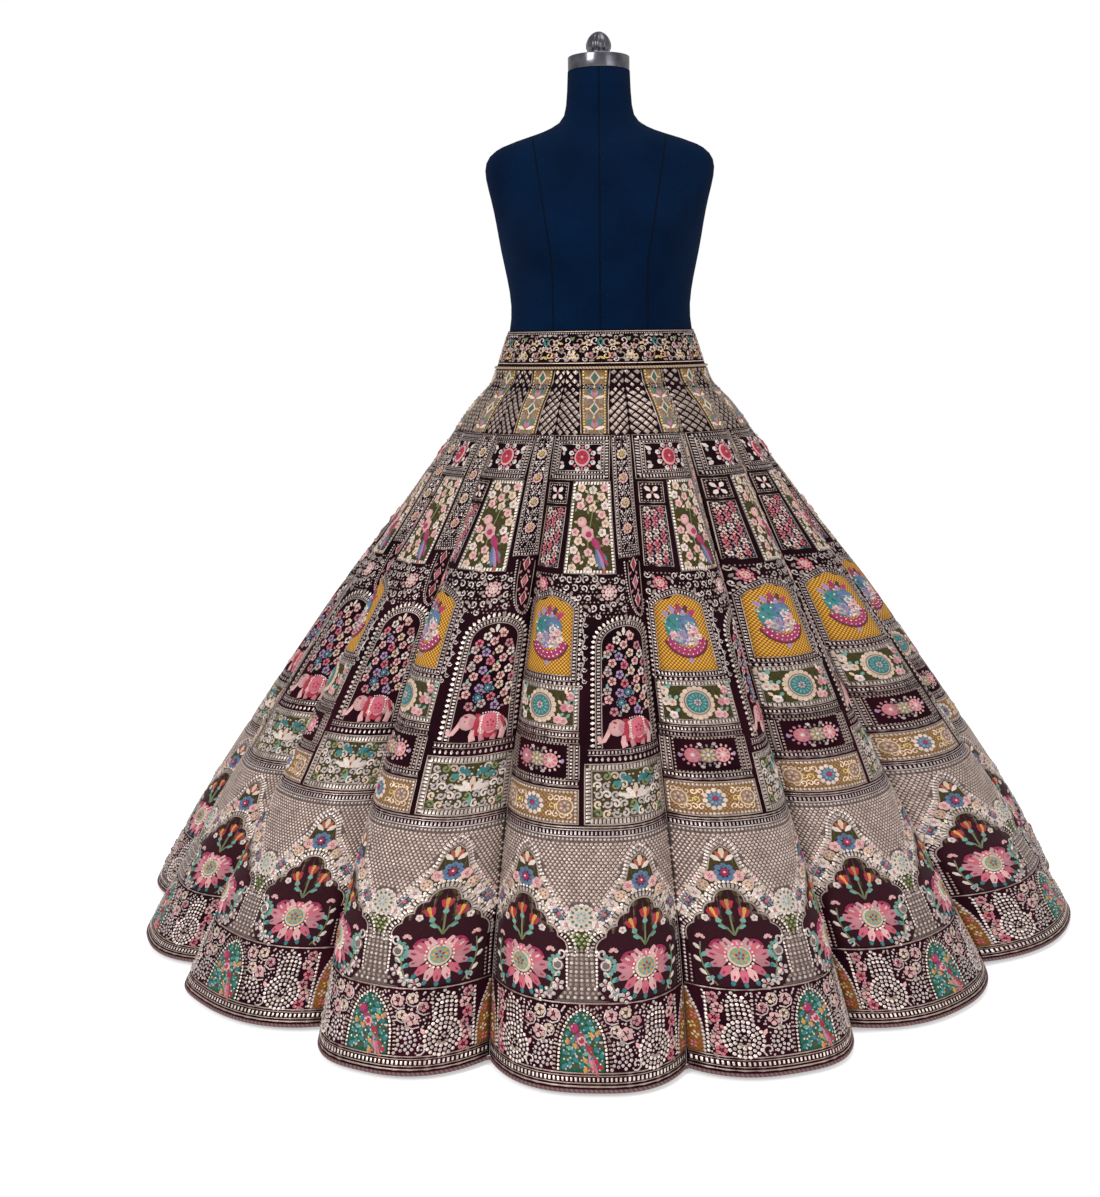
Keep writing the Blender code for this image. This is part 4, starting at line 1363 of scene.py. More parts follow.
# %% The lotus bush
def lotus_bush(side):
    def at(along, down):
        return array((side * ARCH_MIDDLE * half_cut(928) + along, 930.0 + down))

    for lean, top in ((-1, -44.0), (1, -44.0), (0, -55.0)):
        cord(silk, array([at(0, -19), at(lean * 5, -27), at(lean * 14, top + 8)]), 2.4, "moss", height=2.0)
        for fan, colour, height in ((-0.55, "red", 2.0), (0.55, "red", 2.0), (0.0, "gold", 3.0)):
            turn = UP + lean * 0.35 + fan
            mid = at(lean * 16, top) + 4 * toward(turn)
            petal(mid, (9.5, 4.0, height), colour, turn)
        petal(at(lean * 14, top + 6), (4.4, 4.0, 3.4), "sea", UP + lean * 0.35)
    for lean in (-1, 1):
        petal(at(lean * 10, -30), (7.0, 2.8, 2.2), "sea", UP + lean * 1.2)
        flower(at(lean * 29, -41), 5.0, "ivory", "rose", lean)
    for turn, reach, length, wide, colour, height in (
        (-2.95, 24, 16, 9.0, "rose", 2.0), (-0.19, 24, 16, 9.0, "rose", 2.0),
        (-2.55, 22, 16, 9.0, "pink", 2.5), (-0.59, 22, 16, 9.0, "pink", 2.5),
        (-2.10, 18, 15, 9.0, "blush", 3.0), (-1.04, 18, 15, 9.0, "blush", 3.0),
        (-1.57, 15, 13, 8.5, "pink", 3.6),
    ):
        mid = at(reach * cos(turn), 12 + reach * 0.95 * sin(turn))
        petal(mid, (length, wide, height), colour, turn)
        vein = "ivory" if colour == "pink" else "magenta"
        petal(mid + 4 * toward(turn), (length * 0.5, wide * 0.34, height + 1.2), vein, turn)
    disc(at(0, 8), 14.0, "cream", 2.6, steps=14)
    disc(at(0, 8), 11.4, "sea", 0.8, steps=12)
    petals(at(0, 8), 8, 4.0, 10.6, 4.2, "gold", height=1.6)
    petals(at(0, 8), 5, 1.0, 6.0, 3.6, "red", height=2.4)
    for turn, colour in (
        (0.35, "rose"), (0.80, "pink"), (1.20, "blush"), (1.57, "pink"), (1.94, "blush"), (2.34, "pink"),
        (2.79, "rose"),
    ):
        way = toward(turn)
        mid = at(*(way * (26, 23) + (0, 9)))
        petal(mid, (11.5, 5.6, 2.6), colour, turn)
        petal(mid + 3 * way, (6.0, 2.2, 3.8), "magenta", turn)
        petal(mid + 12.5 * way, (4.2, 3.0, 2.6), "teal", turn)
    for step in range(20):
        turn = step * tau / 20
        bead(at(16.2 * cos(turn), 8 + 16.2 * sin(turn)), (2.0, 4.0), "ivory")
    cord(silk, arc_between(at(-30, -5), at(-15, -12), 0.2, 5), 3.4, "magenta", height=3.6)
    cord(silk, arc_between(at(15, -12), at(30, -5), 0.2, 5), 3.4, "magenta", height=3.6)
    for lean in (-1, 1):
        stem = [at(lean * x, y) for x, y in ((31, 46), (38, 36), (43, 22), (44, 8), (41, -8))]
        cord(silk, stem, 1.8, "moss")
        for step, (along, down) in enumerate(((37, 38), (44, 31), (39, 22), (48, 15), (40, 8), (46, -1))):
            colour, fan = (("sea", -0.8), ("ivory", 0.8))[step % 2]
            petal(at(lean * along, down), (5.6, 2.8, 2.0), colour, UP + lean * fan)
        petals(at(lean * 40, -13), 5, 1.0, 6.4, 4.0, "blush", start=-2.8, sweep=2.5)
        curl(at(lean * 40, 40), 6.0, 1.57, lean, "silver", 2.2, 8)


for side in (-1, 1):
    lotus_bush(side)
    bead_row(down_line(side * 0.965, 905, 978, 6), 5.0, 2.2)
    bead_row(down_line(side * 0.925, 940, 978, 4), 5.0, 2.0, "zari")
cord(zari, cross_line(980.5), 3.0)
tell("lobed arches")

# %% [markdown]
# The hem band is the heaviest work: a domed panel of leaves with a bird in the middle, bead paisleys to
# each side, pink flowers in silver rings, quarter rosettes of beads, and a half dome of gold at each seam.

# %% The domed panel of the hem band
dome = [(s, -w, w) for s, w in (
    (991, 3), (996, 10), (1003, 16), (1012, 21), (1024, 25), (1038, 27), (1052, 28), (1063, 28.5))]
ground(dome, "green")
dome_line = array([(-w, s) for s, _, w in dome[::-1]] + [(w, s) for s, _, w in dome])
foot = array([0, 1063.0])
bead_row(foot + (dome_line - foot) * (1.08, 1.03), 4.8, 2.2, "ivory")
rungs(foot + (dome_line - foot) * (1.28, 1.10), 5.0, 5.4, 2.8, "zari")
for step in range(60):
    turn, reach = step * 2.39996, 3.9 * sqrt(step + 0.5)
    place = array((reach * cos(turn) * 0.98, 1034 + reach * sin(turn) * 1.22))
    limit = interp(place[1], [row[0] for row in dome], [row[2] for row in dome]) - 3.0
    if abs(place[0]) < limit and 997 < place[1] < 1061:
        colour = ("teal", "green", "teal", "sea", "gold", "teal", "olive")[step % 7]
        petal(place, (5.2, 3.0, 2.0), colour, turn * 1.7)
        if step % 7 == 1:
            bead(place, (2.0, 3.0), "ivory")
        if step % 7 == 4:
            leaf(place + (2.4, 1.2), (3.6, 1.6, 2.8), "pink", turn * 1.7 + 0.6)
bird((0.0, 1027.0), 46, "magenta", "red", "rose", "pink")
petal((21.0, 1056), (6.0, 4.2, 2.8), "red", 0.8)
petal((10, 1059), (5.0, 3.2, 2.6), "amber", 0.2)

# %% Flowers in rings and quarter rosettes
def keep_bare(centre, reach):
    """Keeps the fillings out of a round."""
    for radius in arange(1.0, reach, 1.5):
        mark_worked(circle(centre, radius, 90))


for side in (-1, 1):
    for u, s, radius, colour in (
        (0.235, 995, 8.6, "blush"), (0.355, 992, 7.6, "cream"), (0.355, 1018, 9.4, "blush"),
        (0.440, 1003, 7.0, "rose"), (0.275, 1013, 6.6, "cream"),
    ):
        place = spot(side * u, s)
        flower(place, radius, colour, "wine", side * u * 9)
        curl(place, radius + 4.0, 0.8 if side > 0 else 2.4, side, "silver", 2.4, 9)
    rose = spot(side * 0.285, 1046)
    keep_bare(rose, 20.5)
    for reach, count in ((5.5, 6), (11.0, 12), (16.5, 17)):
        turns = linspace(0, tau, count, endpoint=False) + reach
        places = rose + reach * ways(turns)
        places = places[(places[:, 1] < 1062) & (np.abs(places[:, 0]) > 36)]
        bead(places, (2.7, 2.5))
    curl(spot(side * 0.43, 1055), 8.0, 2.0, -side, "silver", 2.8, 9)
    petal(spot(side * 0.32, 1028), (5.6, 3.0, 1.9), "zari", 1.57 + side * 0.6)
    petal(spot(side * 0.44, 1033), (5.6, 3.0, 1.9), "blush", 1.57 - side * 0.6)


# %% The bead paisley
def bead_paisley(x):
    """A stem of bead rows that ends in a round rosette."""
    stem = ((985, 4), (990.5, 7), (996, 10), (1001.5, 11.5), (1007, 12), (1012.5, 12), (1018, 12.5))
    for step, (at, half) in enumerate(stem):
        count = int(half / 2.3) | 1
        bow = 2.8 * np.cos(linspace(-1.4, 1.4, count))
        places = abreast(linspace(x - half, x + half, count), at - bow)
        bead(places, (2.7, 2.5, 2.5), "ivory" if step % 2 else "silver")
    for at, half in stem:
        bare = arange(-half - 6.0, half + 6.5, 1.5)
        for down in (-2.0, 0.0, 2.0):
            mark_worked(abreast(x + bare, np.full(len(bare), at + down)))
    keep_bare((x, 1042), 27.5)
    for reach, count, colour in ((22.0, 24, "ivory"), (16.6, 18, "silver"), (11.4, 12, "ivory")):
        bead(circle((x, 1042), reach, count, 0.1 * reach), (2.8, 2.5), colour)
    for lean in (-1, 1):
        bead(circle((x + lean * 4.4, 1040), 3.6, 5), (1.9, 2.2))
    petals((x, 1046), 5, 1.5, 8.0, 4.0, "zari", start=0.3, sweep=2.5, layer=zari, height=2.0)


for side in (-1, 1):
    bead_paisley(spot(side * 0.60, 1043)[0])
    for step, s in enumerate((991, 1004, 1017, 1031, 1045, 1057)):
        place = spot(side * (0.775 + 0.014 * (-1) ** step), s)
        flower(place, 7.4, ("rose", "blush", "pink")[step % 3], "wine", step)
        petal(place + (side * 6.5, 6.5), (4.8, 2.6, 1.8), "zari", 0.8)
    bead_row(down_line(side * 0.845, 986, 1062, 6), 5.0, 2.4, "ivory")
    bead_row([spot(side * (0.50 + 0.0006 * (s - 986)), s) for s in linspace(986, 1022, 4)], 5.0, 2.0)
    half_dome = [(s, side * u) for s, u in (
        (984, 0.985), (996, 0.955), (1010, 0.915), (1026, 0.885), (1044, 0.872), (1063, 0.87))]
    ground([(s, *sorted((spot(u, s)[0], side * 400.0))) for s, u in half_dome], "amber", 0.1)
    bead_row([spot(u, s) for s, u in half_dome], 4.8, 2.2)
    for step, (s, u) in enumerate(((1006, 0.952), (1019, 0.935), (1031, 0.952), (1043, 0.93), (1055, 0.945))):
        petals(spot(side * u, s), 4, 0.8, 5.0, 3.4, ("cream", "pink", "straw")[step % 3], start=step)

fill_open(985, 1062, -0.86, 0.86, 4.9, 2.2, "silver")
fill_open(987, 1063, -0.85, 0.85, 4.2, 1.7, "silver")

# %% The border at the hem
cord(zari, cross_line(1064.5), 2.6)
ladder(cross_line(1072.0), 8.6, 5.6, "zari", "ivory")
cord(zari, cross_line(1080.2), 3.2)
WORK = {"grounds": grounds, "silk": silk, "zari": zari}
for label, layer in WORK.items():
    print(label, "faces on one kali:", sum(len(faces) for faces in layer.faces))

# %% [markdown]
# The flat work is wrapped round all sixteen kalis. A place across is a share of the half width, so the
# panels widen and narrow with each kali. A small shift, zero at the seams, slides it sideways on some.

# %% Wrap the work on every kali
SHIFT_AT = (0, 60, 120, 240, 420, 620, 760, 873, 1030, 1084)
SHIFTS = {
    2: (0, 0, 0, 0, 0, 0, 0, -0.10, -0.05, -0.05),
    4: (0.50, 0.50, 0.42, 0.26, 0.14, 0.16, 0.15, 0.13, 0.18, 0.18),
    5: (0.50, 0.50, 0.50, 0.48, 0.44, 0.28, 0.13, 0.05, 0.00, 0.00),
    6: (0.30, 0.30, 0.30, 0.28, 0.25, 0.22, 0.20, 0.13, 0.10, 0.10),
}


def on_cloth(number, flat):
    """Places on a kali for flat places with a lift, in mm."""
    places, outward, _ = CHARTS[number]
    across = np.clip(flat[:, 0] / half_cut(flat[:, 1]), -1, 1)
    shift = interp(flat[:, 1], SHIFT_AT, SHIFTS.get(number, (0,) * 10))
    across = across + shift * (1 - across**2)
    row = np.clip(flat[:, 1] / LENGTH, 0, 1) * (CHART_ROWS - 1)
    column = (across + 1) / 2 * (CHART_COLUMNS - 1)
    r, c = row.astype(int).clip(0, CHART_ROWS - 2), column.astype(int).clip(0, CHART_COLUMNS - 2)
    down, over = (row - r)[:, None], (column - c)[:, None]

    def blend(table):
        near = table[r, c] * (1 - over) + table[r, c + 1] * over
        far = table[r + 1, c] * (1 - over) + table[r + 1, c + 1] * over
        return near * (1 - down) + far * down

    return blend(places) + blend(outward) * flat[:, 2:] / 1000


def flat_map(flat):
    """A UV map that lays the flat cut over the whole square."""
    x, s = flat[:, 0] / half_cut(flat[:, 1]), flat[:, 1] / LENGTH
    return abreast(0.5 + 0.495 * x.clip(-1, 1), 0.995 - 0.99 * s.clip(0, 1))


def work_piece(name, layer, lay, map_of):
    """The mesh of one layer, from its places in space and its UV map."""
    points, faces, colours = chain(*layer.points), chain(*layer.faces), chain(*layer.colours)
    piece = mesh_piece(name, lay(points), faces[:, ::-1])
    lay_map(piece, map_of(points))
    colour_points(piece, colours, points * 0.001)
    return piece


kali_work = []
for number in range(16):
    kali_work.append([
        work_piece(f"kali_{number + 1:02d}_{label}", layer, lambda flat: on_cloth(number, flat), flat_map)
        for label, layer in WORK.items()])
print("faces of needlework on a kali:", [len(piece.data.polygons) for piece in kali_work[0]])

# %% [markdown]
# The waistband is folded double and stiff. It is an oval tube of cloth, so its sheet closes on itself,
# and its needlework is drawn on its own flat strip: scrolls with dark eyes, blossoms and green leaves.

# %% The waistband's cloth
BAND_COLUMNS, BAND_ROWS = 144, 9


def band_half(height):
    up = (height - BAND_BOTTOM) / (BAND_TOP - BAND_BOTTOM)
    half_width = WAIST_HALF_WIDTH + up * (BAND_TOP_HALF_WIDTH - WAIST_HALF_WIDTH)
    return half_width, half_width * (WAIST_DEPTH_SHARE + up * (BAND_TOP_DEPTH_SHARE - WAIST_DEPTH_SHARE))


def band_point(turn, height, outward=0.0):
    """A place on the waistband. turn is 0 in front and grows to the right, in radians."""
    half_width, half_depth = band_half(height)
    x, y = half_width * np.sin(turn), -half_depth * np.cos(turn)
    way = unit(abreast(half_depth * np.sin(turn), -half_width * np.cos(turn)))
    return np.stack(np.broadcast_arrays(x + outward * way[..., 0], y + outward * way[..., 1], height), -1)


turns = linspace(-pi, pi, BAND_COLUMNS, endpoint=False)[None, :]
heights = linspace(BAND_TOP, BAND_BOTTOM, BAND_ROWS)[:, None]
inner_face = band_point(turns, heights, -BAND_WALL)
band_cloth = wall_piece("waistband_cloth", band_point(turns, heights), inner_face, closed_round=True)
lay_map(band_cloth, wall_map(BAND_ROWS, BAND_COLUMNS))
fine = band_point(linspace(0, tau, 721), (BAND_TOP + BAND_BOTTOM) / 2)
BAND_LENGTH = float(norm(np.diff(fine, axis=0), axis=1).sum())
BAND_DEPTH = float(hypot(BAND_TOP - BAND_BOTTOM, WAIST_HALF_WIDTH - BAND_TOP_HALF_WIDTH))
print("waistband length and depth, mm:", round(BAND_LENGTH * 1000), round(BAND_DEPTH * 1000))

# %% The waistband's needlework
silk, zari = Layer(), Layer()
bed_height[:] = BARE
worked[:] = False
BAND_MM, DEPTH_MM = BAND_LENGTH * 1000, BAND_DEPTH * 1000
CUT = {"edge": lambda s: np.full(np.shape(s), BAND_MM / 2 + STITCH_MARGIN), "length": DEPTH_MM}
round_band = linspace(-BAND_MM / 2, BAND_MM / 2, 181)


def band_line(s):
    return abreast(round_band, np.full(181, s))


cord(zari, band_line(2.4), 2.2)
bead_row(band_line(5.6), 3.8, 1.5)
cord(zari, band_line(54.5), 1.8, "cream")
repeats = 22
for number in range(repeats):
    start = -BAND_MM / 2 + (number + 0.5) * BAND_MM / repeats
    hand = 1 if number % 2 else -1
    for along, s, radius, turn, way, colour in (
        (-11, 19, 9.0, 0.4, 1, "zari"), (8, 40, 9.0, 3.4, -1, "zari"), (-13, 42, 6.5, 5.0, 1, "straw"),
        (13, 17, 6.5, 1.8, -1, "silver"), (-2, 31, 5.0, 2.6, 1, "cream"), (18, 29, 5.0, 4.4, -1, "silver"),
        (-19, 30, 5.0, 1.0, 1, "zari"), (0, 48, 4.4, 5.6, 1, "silver"), (1, 12, 4.4, 2.2, -1, "zari"),
    ):
        curl((start + along, s), radius, turn if hand > 0 else pi - turn, way * hand, colour, 2.4, 9)
    for along, s, colour, radius in (
        (-4, 21, "cream", 6.2), (14, 27, "blush", 5.4), (-14, 33, "cream", 5.8), (5, 33, "zari", 5.4),
        (-6, 42, "rose", 5.4), (19, 43, "cream", 6.0),
    ):
        flower((start + hand * along, s), radius, colour, "wine", number + along)
    for along, s, turn, colour in (
        (-20, 15, 0.8, "green"), (-24, 21, 1.3, "teal"), (22, 14, 2.2, "moss"), (3, 22, 0.2, "straw"),
        (-24, 46, -0.6, "straw"), (12, 47, 0.4, "silver"), (-9, 50, 0.1, "zari"), (24, 36, 1.4, "cream"),
        (-8, 9, 0.2, "silver"), (9, 9.5, -0.2, "zari"), (26, 50, 0.2, "zari"), (-26, 9, 0.1, "silver"),
        (-1, 40, 1.3, "cream"),
    ):
        petal((start + hand * along, s), (5.4, 2.6, 1.6), colour, turn if hand > 0 else pi - turn)


def on_band(flat):
    turn = flat[:, 0] / BAND_MM * tau
    height = BAND_TOP - flat[:, 1] / DEPTH_MM * (BAND_TOP - BAND_BOTTOM)
    return band_point(turn, height, flat[:, 2] / 1000)


def band_map(flat):
    u, v = 0.5 + 0.99 * flat[:, 0] / BAND_MM, 0.99 - 0.98 * flat[:, 1] / DEPTH_MM
    return abreast(u, v).clip(0.002, 0.998)


band_work = [work_piece("waistband_silk", silk, on_band, band_map),
             work_piece("waistband_zari", zari, on_band, band_map)]
print("faces on the waistband:", sum(len(piece.data.polygons) for piece in band_work))

# %% [markdown]
# Two cords finish the skirt: a cream piping over the waist seam and a rolled piping along the hem. Each
# is a round tube with a map along and round it, so that its twist can be drawn.


# %% Pipings
def tube_round(name, path, radius):
    """A closed tube along a closed path in space."""
    sides = 8
    way = unit(np.roll(path, -1, 0) - np.roll(path, 1, 0))
    out = unit(np.cross(way, (0, 0, 1.0)))
    up = np.cross(out, way)
    turns = linspace(0, tau, sides, endpoint=False)[None, :, None]
    ring = path[:, None] + radius * (out[:, None] * np.cos(turns) + up[:, None] * np.sin(turns))
    count = len(path)
    index = arange(count * sides).reshape(count, sides)
    after, beside = np.roll(index, -1, 0), np.roll(index, -1, 1)
    both = np.roll(after, -1, 1)
    faces = abreast(index, after, both, beside).reshape(-1, 4)
    piece = mesh_piece(name, ring.reshape(-1, 3), faces)
    along = distance_along(path)
    length = along[-1] + norm(path[0] - path[-1])
    corner = corner_numbers(piece)
    row, side = corner // sides, corner % sides
    first = np.repeat(arange(len(corner) // 4), 4)
    u, v = along[row] / length, side / sides
    face_row, face_side = first // sides, first % sides
    u = np.where((face_row == count - 1) & (row == 0), 1.0, u)
    v = np.where((face_side == sides - 1) & (side == 0), 1.0, v)
    lay_map(piece, abreast(0.01 + 0.98 * u, 0.02 + 0.96 * v), in_order=True)
    print(name, "length, mm:", round(length * 1000))
    return piece, float(length)


WAIST_PIPING_RADIUS, HEM_PIPING_RADIUS = 0.002, 0.0027
turns = linspace(-pi, pi, 240, endpoint=False)
piping_path = band_point(turns, BAND_BOTTOM + SEAM_GAP + WAIST_PIPING_RADIUS, SEAM_GAP + WAIST_PIPING_RADIUS)
waist_piping, waist_piping_length = tube_round("waist_piping_cord", piping_path, WAIST_PIPING_RADIUS)
hem_path = []
for number in range(16):
    places, outward, _ = CHARTS[number]
    mid = places[-1] - outward[-1] * VELVET / 2
    hem_path.append(mid[1:-1:3])
hem_path = np.concatenate(hem_path)
hem_path[:, 2] = HEM_HEIGHT - SEAM_GAP - HEM_PIPING_RADIUS
hem_piping, hem_piping_length = tube_round("hem_piping_cord", hem_path, HEM_PIPING_RADIUS)

# %% [markdown]
# The dress form is a padded torso under a tight jersey cover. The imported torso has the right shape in
# flat facets, so a copy of it is merged and smoothed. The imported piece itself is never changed.

# %% The torso's cover
deselect_all()
torso = new_object("form_torso_cover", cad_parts["form_torso"].data.copy())
torso.data.materials.clear()
bpy.context.view_layer.objects.active = torso
torso.select_set(True)
edit_mode()
bpy.ops.mesh.select_all(action="SELECT")
bpy.ops.mesh.remove_doubles(threshold=0.00002)
bpy.ops.mesh.tris_convert_to_quads(face_threshold=0.7, shape_threshold=0.7)
edit_mode(False)
heights = [vertex.co.z for vertex in torso.data.vertices]
select_corners(torso, lambda place: place.z < min(heights) + 0.0005 or place.z > max(heights) - 0.0005)
bpy.ops.transform.edge_crease(value=1)
edit_mode(False)
torso.modifiers.new("smooth", "SUBSURF").levels = 1
torso.modifiers["smooth"].render_levels = 1
bpy.ops.object.modifier_apply(modifier="smooth")
bpy.ops.object.shade_smooth_by_angle(angle=radians(50))
print("torso cover faces:", len(torso.data.polygons))

# %% The neck cap and its knob
deselect_all()
cap_low, cap_high = (array(corner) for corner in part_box("form_neck_cap"))
cap_radius = (cap_high - cap_low)[0] / 2
bpy.ops.mesh.primitive_cylinder_add(vertices=64, radius=cap_radius, depth=cap_high[2] - cap_low[2],
                                    location=(0, 0, (cap_low[2] + cap_high[2]) / 2))
cap = bpy.context.object
cap.name = "form_neck_cap_band"
bpy.ops.object.transform_apply()
edit_mode()
bpy.ops.mesh.select_mode(type="FACE")
bpy.ops.mesh.select_all(action="DESELECT")
edit_mode(False)
for face in cap.data.polygons:
    face.select = face.normal.z > 0.9
edit_mode()
bpy.ops.mesh.inset(thickness=0.0040)
bpy.ops.transform.translate(value=(0, 0, -0.0010))
bpy.ops.mesh.inset(thickness=0.012)
bpy.ops.transform.translate(value=(0, 0, 0.0008))
edit_mode(False)
cap.modifiers.new("edge", "BEVEL").width = 0.0012
cap.modifiers["edge"].segments = 3
cap.modifiers["edge"].limit_method = "ANGLE"
bpy.ops.object.modifier_apply(modifier="edge")
bpy.ops.object.shade_smooth_by_angle(angle=radians(40))

knob_low, knob_high = (array(corner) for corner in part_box("form_knob"))
deselect_all()
bpy.ops.mesh.primitive_uv_sphere_add(segments=72, ring_count=28, radius=1, location=(0, 0, 0))
knob = bpy.context.object
knob.name = "form_knob_ribbed"
knob_radius = (knob_high - knob_low)[0] / 2 - 0.0002
knob_height = float(knob_high[2] - knob_low[2])
KNOB_LINE = ((0.00, 0.96), (0.012, 1.00), (0.06, 1.00), (0.08, 0.94), (0.12, 0.70), (0.18, 0.72),
             (0.34, 0.83), (0.50, 0.83), (0.64, 0.76), (0.78, 0.64), (0.90, 0.44), (0.97, 0.24), (1.00, 0.0))
for vertex in knob.data.vertices:
    turn = atan2(vertex.co.y, vertex.co.x)
    up = 0.5 + 0.5 * vertex.co.z
    reach = interp(up, *zip(*KNOB_LINE)) if abs(vertex.co.z) < 0.9999 else 0.0
    depth = interp(up, (0.12, 0.30, 0.80, 0.95), (0.0, 0.075, 0.075, 0.0))
    reach *= knob_radius * (1 - depth * (0.5 - 0.5 * cos(12 * turn)))
    vertex.co = (cos(turn) * reach, sin(turn) * reach, float(knob_low[2]) + up * knob_height)
bpy.ops.object.shade_smooth()
print("cap and knob faces:", len(cap.data.polygons), len(knob.data.polygons))

# %% [markdown]
# Every finish is a small tree of nodes. A helper starts each with a shader and gives short words for the
# rest. Values that are alike all over a surface are set on the shader itself.


# %% Words for node trees
class Finish:
    """A material, with short words for its nodes."""

    def __init__(self, name, roughness=0.6, metallic=0.0, **constants):
        self.material = bpy.data.materials.new(name)
        self.material.use_nodes = True
        self.nodes, self.links = self.material.node_tree.nodes, self.material.node_tree.links
        self.shader = self.nodes["Principled BSDF"]
        self.shader.inputs["Roughness"].default_value = roughness
        self.shader.inputs["Metallic"].default_value = metallic
        for socket, value in constants.items():
            self.shader.inputs[socket.replace("_", " ")].default_value = value
        place = self.nodes.new("ShaderNodeTexCoord")
        self.place, self.map = place.outputs["Object"], place.outputs["UV"]

    def link(self, source, target):
        if hasattr(source, "links"):
            self.links.new(source, target)
        else:
            target.default_value = source

    def node(self, kind, **values):
        """A new node, with its sockets joined or set."""
        node = self.nodes.new("ShaderNode" + kind)
        for socket, value in values.items():
            self.link(value, node.inputs[socket])
        return node

    def attribute(self, name):
        node = self.node("Attribute")
        node.attribute_name = name
        return node.outputs

    def noise(self, scale, detail=2.0, vector=None):
        node = self.node("TexNoise", Scale=scale, Detail=detail, Roughness=0.5, Vector=vector or self.place)
        return node.outputs["Fac"]

    def wave(self, scale, vector, distortion=0.0, direction="X"):
        node = self.node("TexWave", Scale=scale, Distortion=distortion, Vector=vector)
        node.bands_direction = direction
        return node.outputs["Fac"]

    def moved(self, vector, scale, turn=(0, 0, 0)):
        return self.node("Mapping", Scale=scale, Rotation=turn, Vector=vector).outputs["Vector"]

    def maths(self, operation, a, b=0.0):
        node = self.node("Math")
        node.operation = operation
        self.link(a, node.inputs[0])
        self.link(b, node.inputs[1])
        return node.outputs[0]

    def span(self, value, low, high, to_low=0.0, to_high=1.0):
        limits = {"From Min": low, "From Max": high, "To Min": to_low, "To Max": to_high}
        return self.node("MapRange", Value=value, **limits).outputs["Result"]

    def mix(self, share, a, b, blend="MIX"):
        node = self.node("Mix")
        node.data_type = "RGBA"
        node.blend_type = blend
        self.link(share, node.inputs[0])
        for value, socket in ((a, node.inputs[6]), (b, node.inputs[7])):
            self.link(value if hasattr(value, "links") else (*value, 1.0), socket)
        return node.outputs[2]

    def split(self, vector):
        return self.node("SeparateXYZ", Vector=vector).outputs

    def colour(self, value):
        self.link(value, self.shader.inputs["Base Color"])

    def rough(self, value):
        self.link(value, self.shader.inputs["Roughness"])

    def bump(self, height, distance, strength):
        node = self.node("Bump", Distance=distance, Strength=strength, Height=height)
        old = self.shader.inputs["Normal"]
        if old.is_linked:
            self.links.new(old.links[0].from_socket, node.inputs["Normal"])
        self.links.new(node.outputs["Normal"], old)


def dress(finish, slot, *pieces):
    for piece in pieces:
        piece.data.materials.clear()
        piece.data.materials.append(finish.material)
        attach(piece, "root")


# %% [markdown]
# Velvet is a cut pile. Seen straight on it is almost black, and where the pile leans it shows its wine
# colour. Here that sheen is painted: the base is dark, and slow noise brushes the nap between it and a
# painted wine sheen. A painted shade also darkens the velvet towards the waist.

# %% Velvet
velvet = Finish("wine_velvet", 0.9, Sheen_Weight=0.04, Sheen_Roughness=0.4,
                Sheen_Tint=(0.55, 0.10, 0.18, 1), Specular_IOR_Level=0.05)
height = velvet.split(velvet.place)[2]
nap = velvet.noise(9.0, 3.0)
pile = velvet.noise(900.0, 2.0)
# Painted shade by height: the velvet is painted near black towards the waist and more wine towards the hem.
painted_shade_by_height = velvet.span(height, 0.75, 0.15)
deep = velvet.mix(painted_shade_by_height, (0.0022, 0.0005, 0.0011), (0.0075, 0.0008, 0.0024))
# A painted wine sheen: slow noise over the nap mixes it in where the pile would catch the light.
painted_wine_sheen = velvet.mix(painted_shade_by_height, (0.0085, 0.0016, 0.0034), (0.036, 0.0024, 0.0088))
nap_with_painted_sheen = velvet.mix(velvet.span(nap, 0.35, 0.68), deep, painted_wine_sheen)
velvet.colour(velvet.mix(velvet.span(pile, 0.3, 0.75, 0.0, 0.55), nap_with_painted_sheen, (0.006, 0.002, 0.004)))
velvet.rough(velvet.span(nap, 0.3, 0.7, 0.92, 0.75))
velvet.bump(pile, 0.0004, 0.6)
velvet.bump(nap, 0.0015, 0.4)
dress(velvet, "kali_velvet", *kali_cloth)

# %% [markdown]
# The raised beds under the beads are laid in dull silk: most are plain rows of couching, and the gold ones
# are crossed by a fine diagonal check. Both patterns follow the flat cut, so they bend with the cloth.

# %% Embroidered grounds
bedding = Finish("couched_ground", 0.85, Sheen_Weight=0.03, Specular_IOR_Level=0.12)
thread = bedding.attribute("thread")
cut = bedding.attribute("cut")["Vector"]
diagonal = bedding.moved(cut, (1, 1, 1), (0, 0, pi / 4))
check_x, check_y = bedding.wave(74.0, diagonal), bedding.wave(74.0, diagonal, direction="Y")
check = bedding.maths("MULTIPLY", check_x, check_y)
rows_of_thread = bedding.wave(130.0, bedding.moved(cut, (1, 1, 1), (0, 0, 0.9)), 1.5)
mottle = bedding.noise(260.0, 3.0, cut)
plain = bedding.mix(bedding.span(mottle, 0.3, 0.75, 0.0, 0.7), thread["Color"], (0.010, 0.006, 0.008))
light_check = bedding.mix(bedding.span(check, 0.02, 0.30), (0.13, 0.045, 0.012), thread["Color"])
bedding.colour(bedding.mix(thread["Alpha"], light_check, plain))
bedding.rough(bedding.span(mottle, 0.3, 0.7, 0.65, 0.9))
bedding.bump(check, 0.0006, 0.5)
bedding.bump(rows_of_thread, 0.0002, 0.2)
dress(bedding, "kali_velvet", *[pieces[0] for pieces in kali_work])

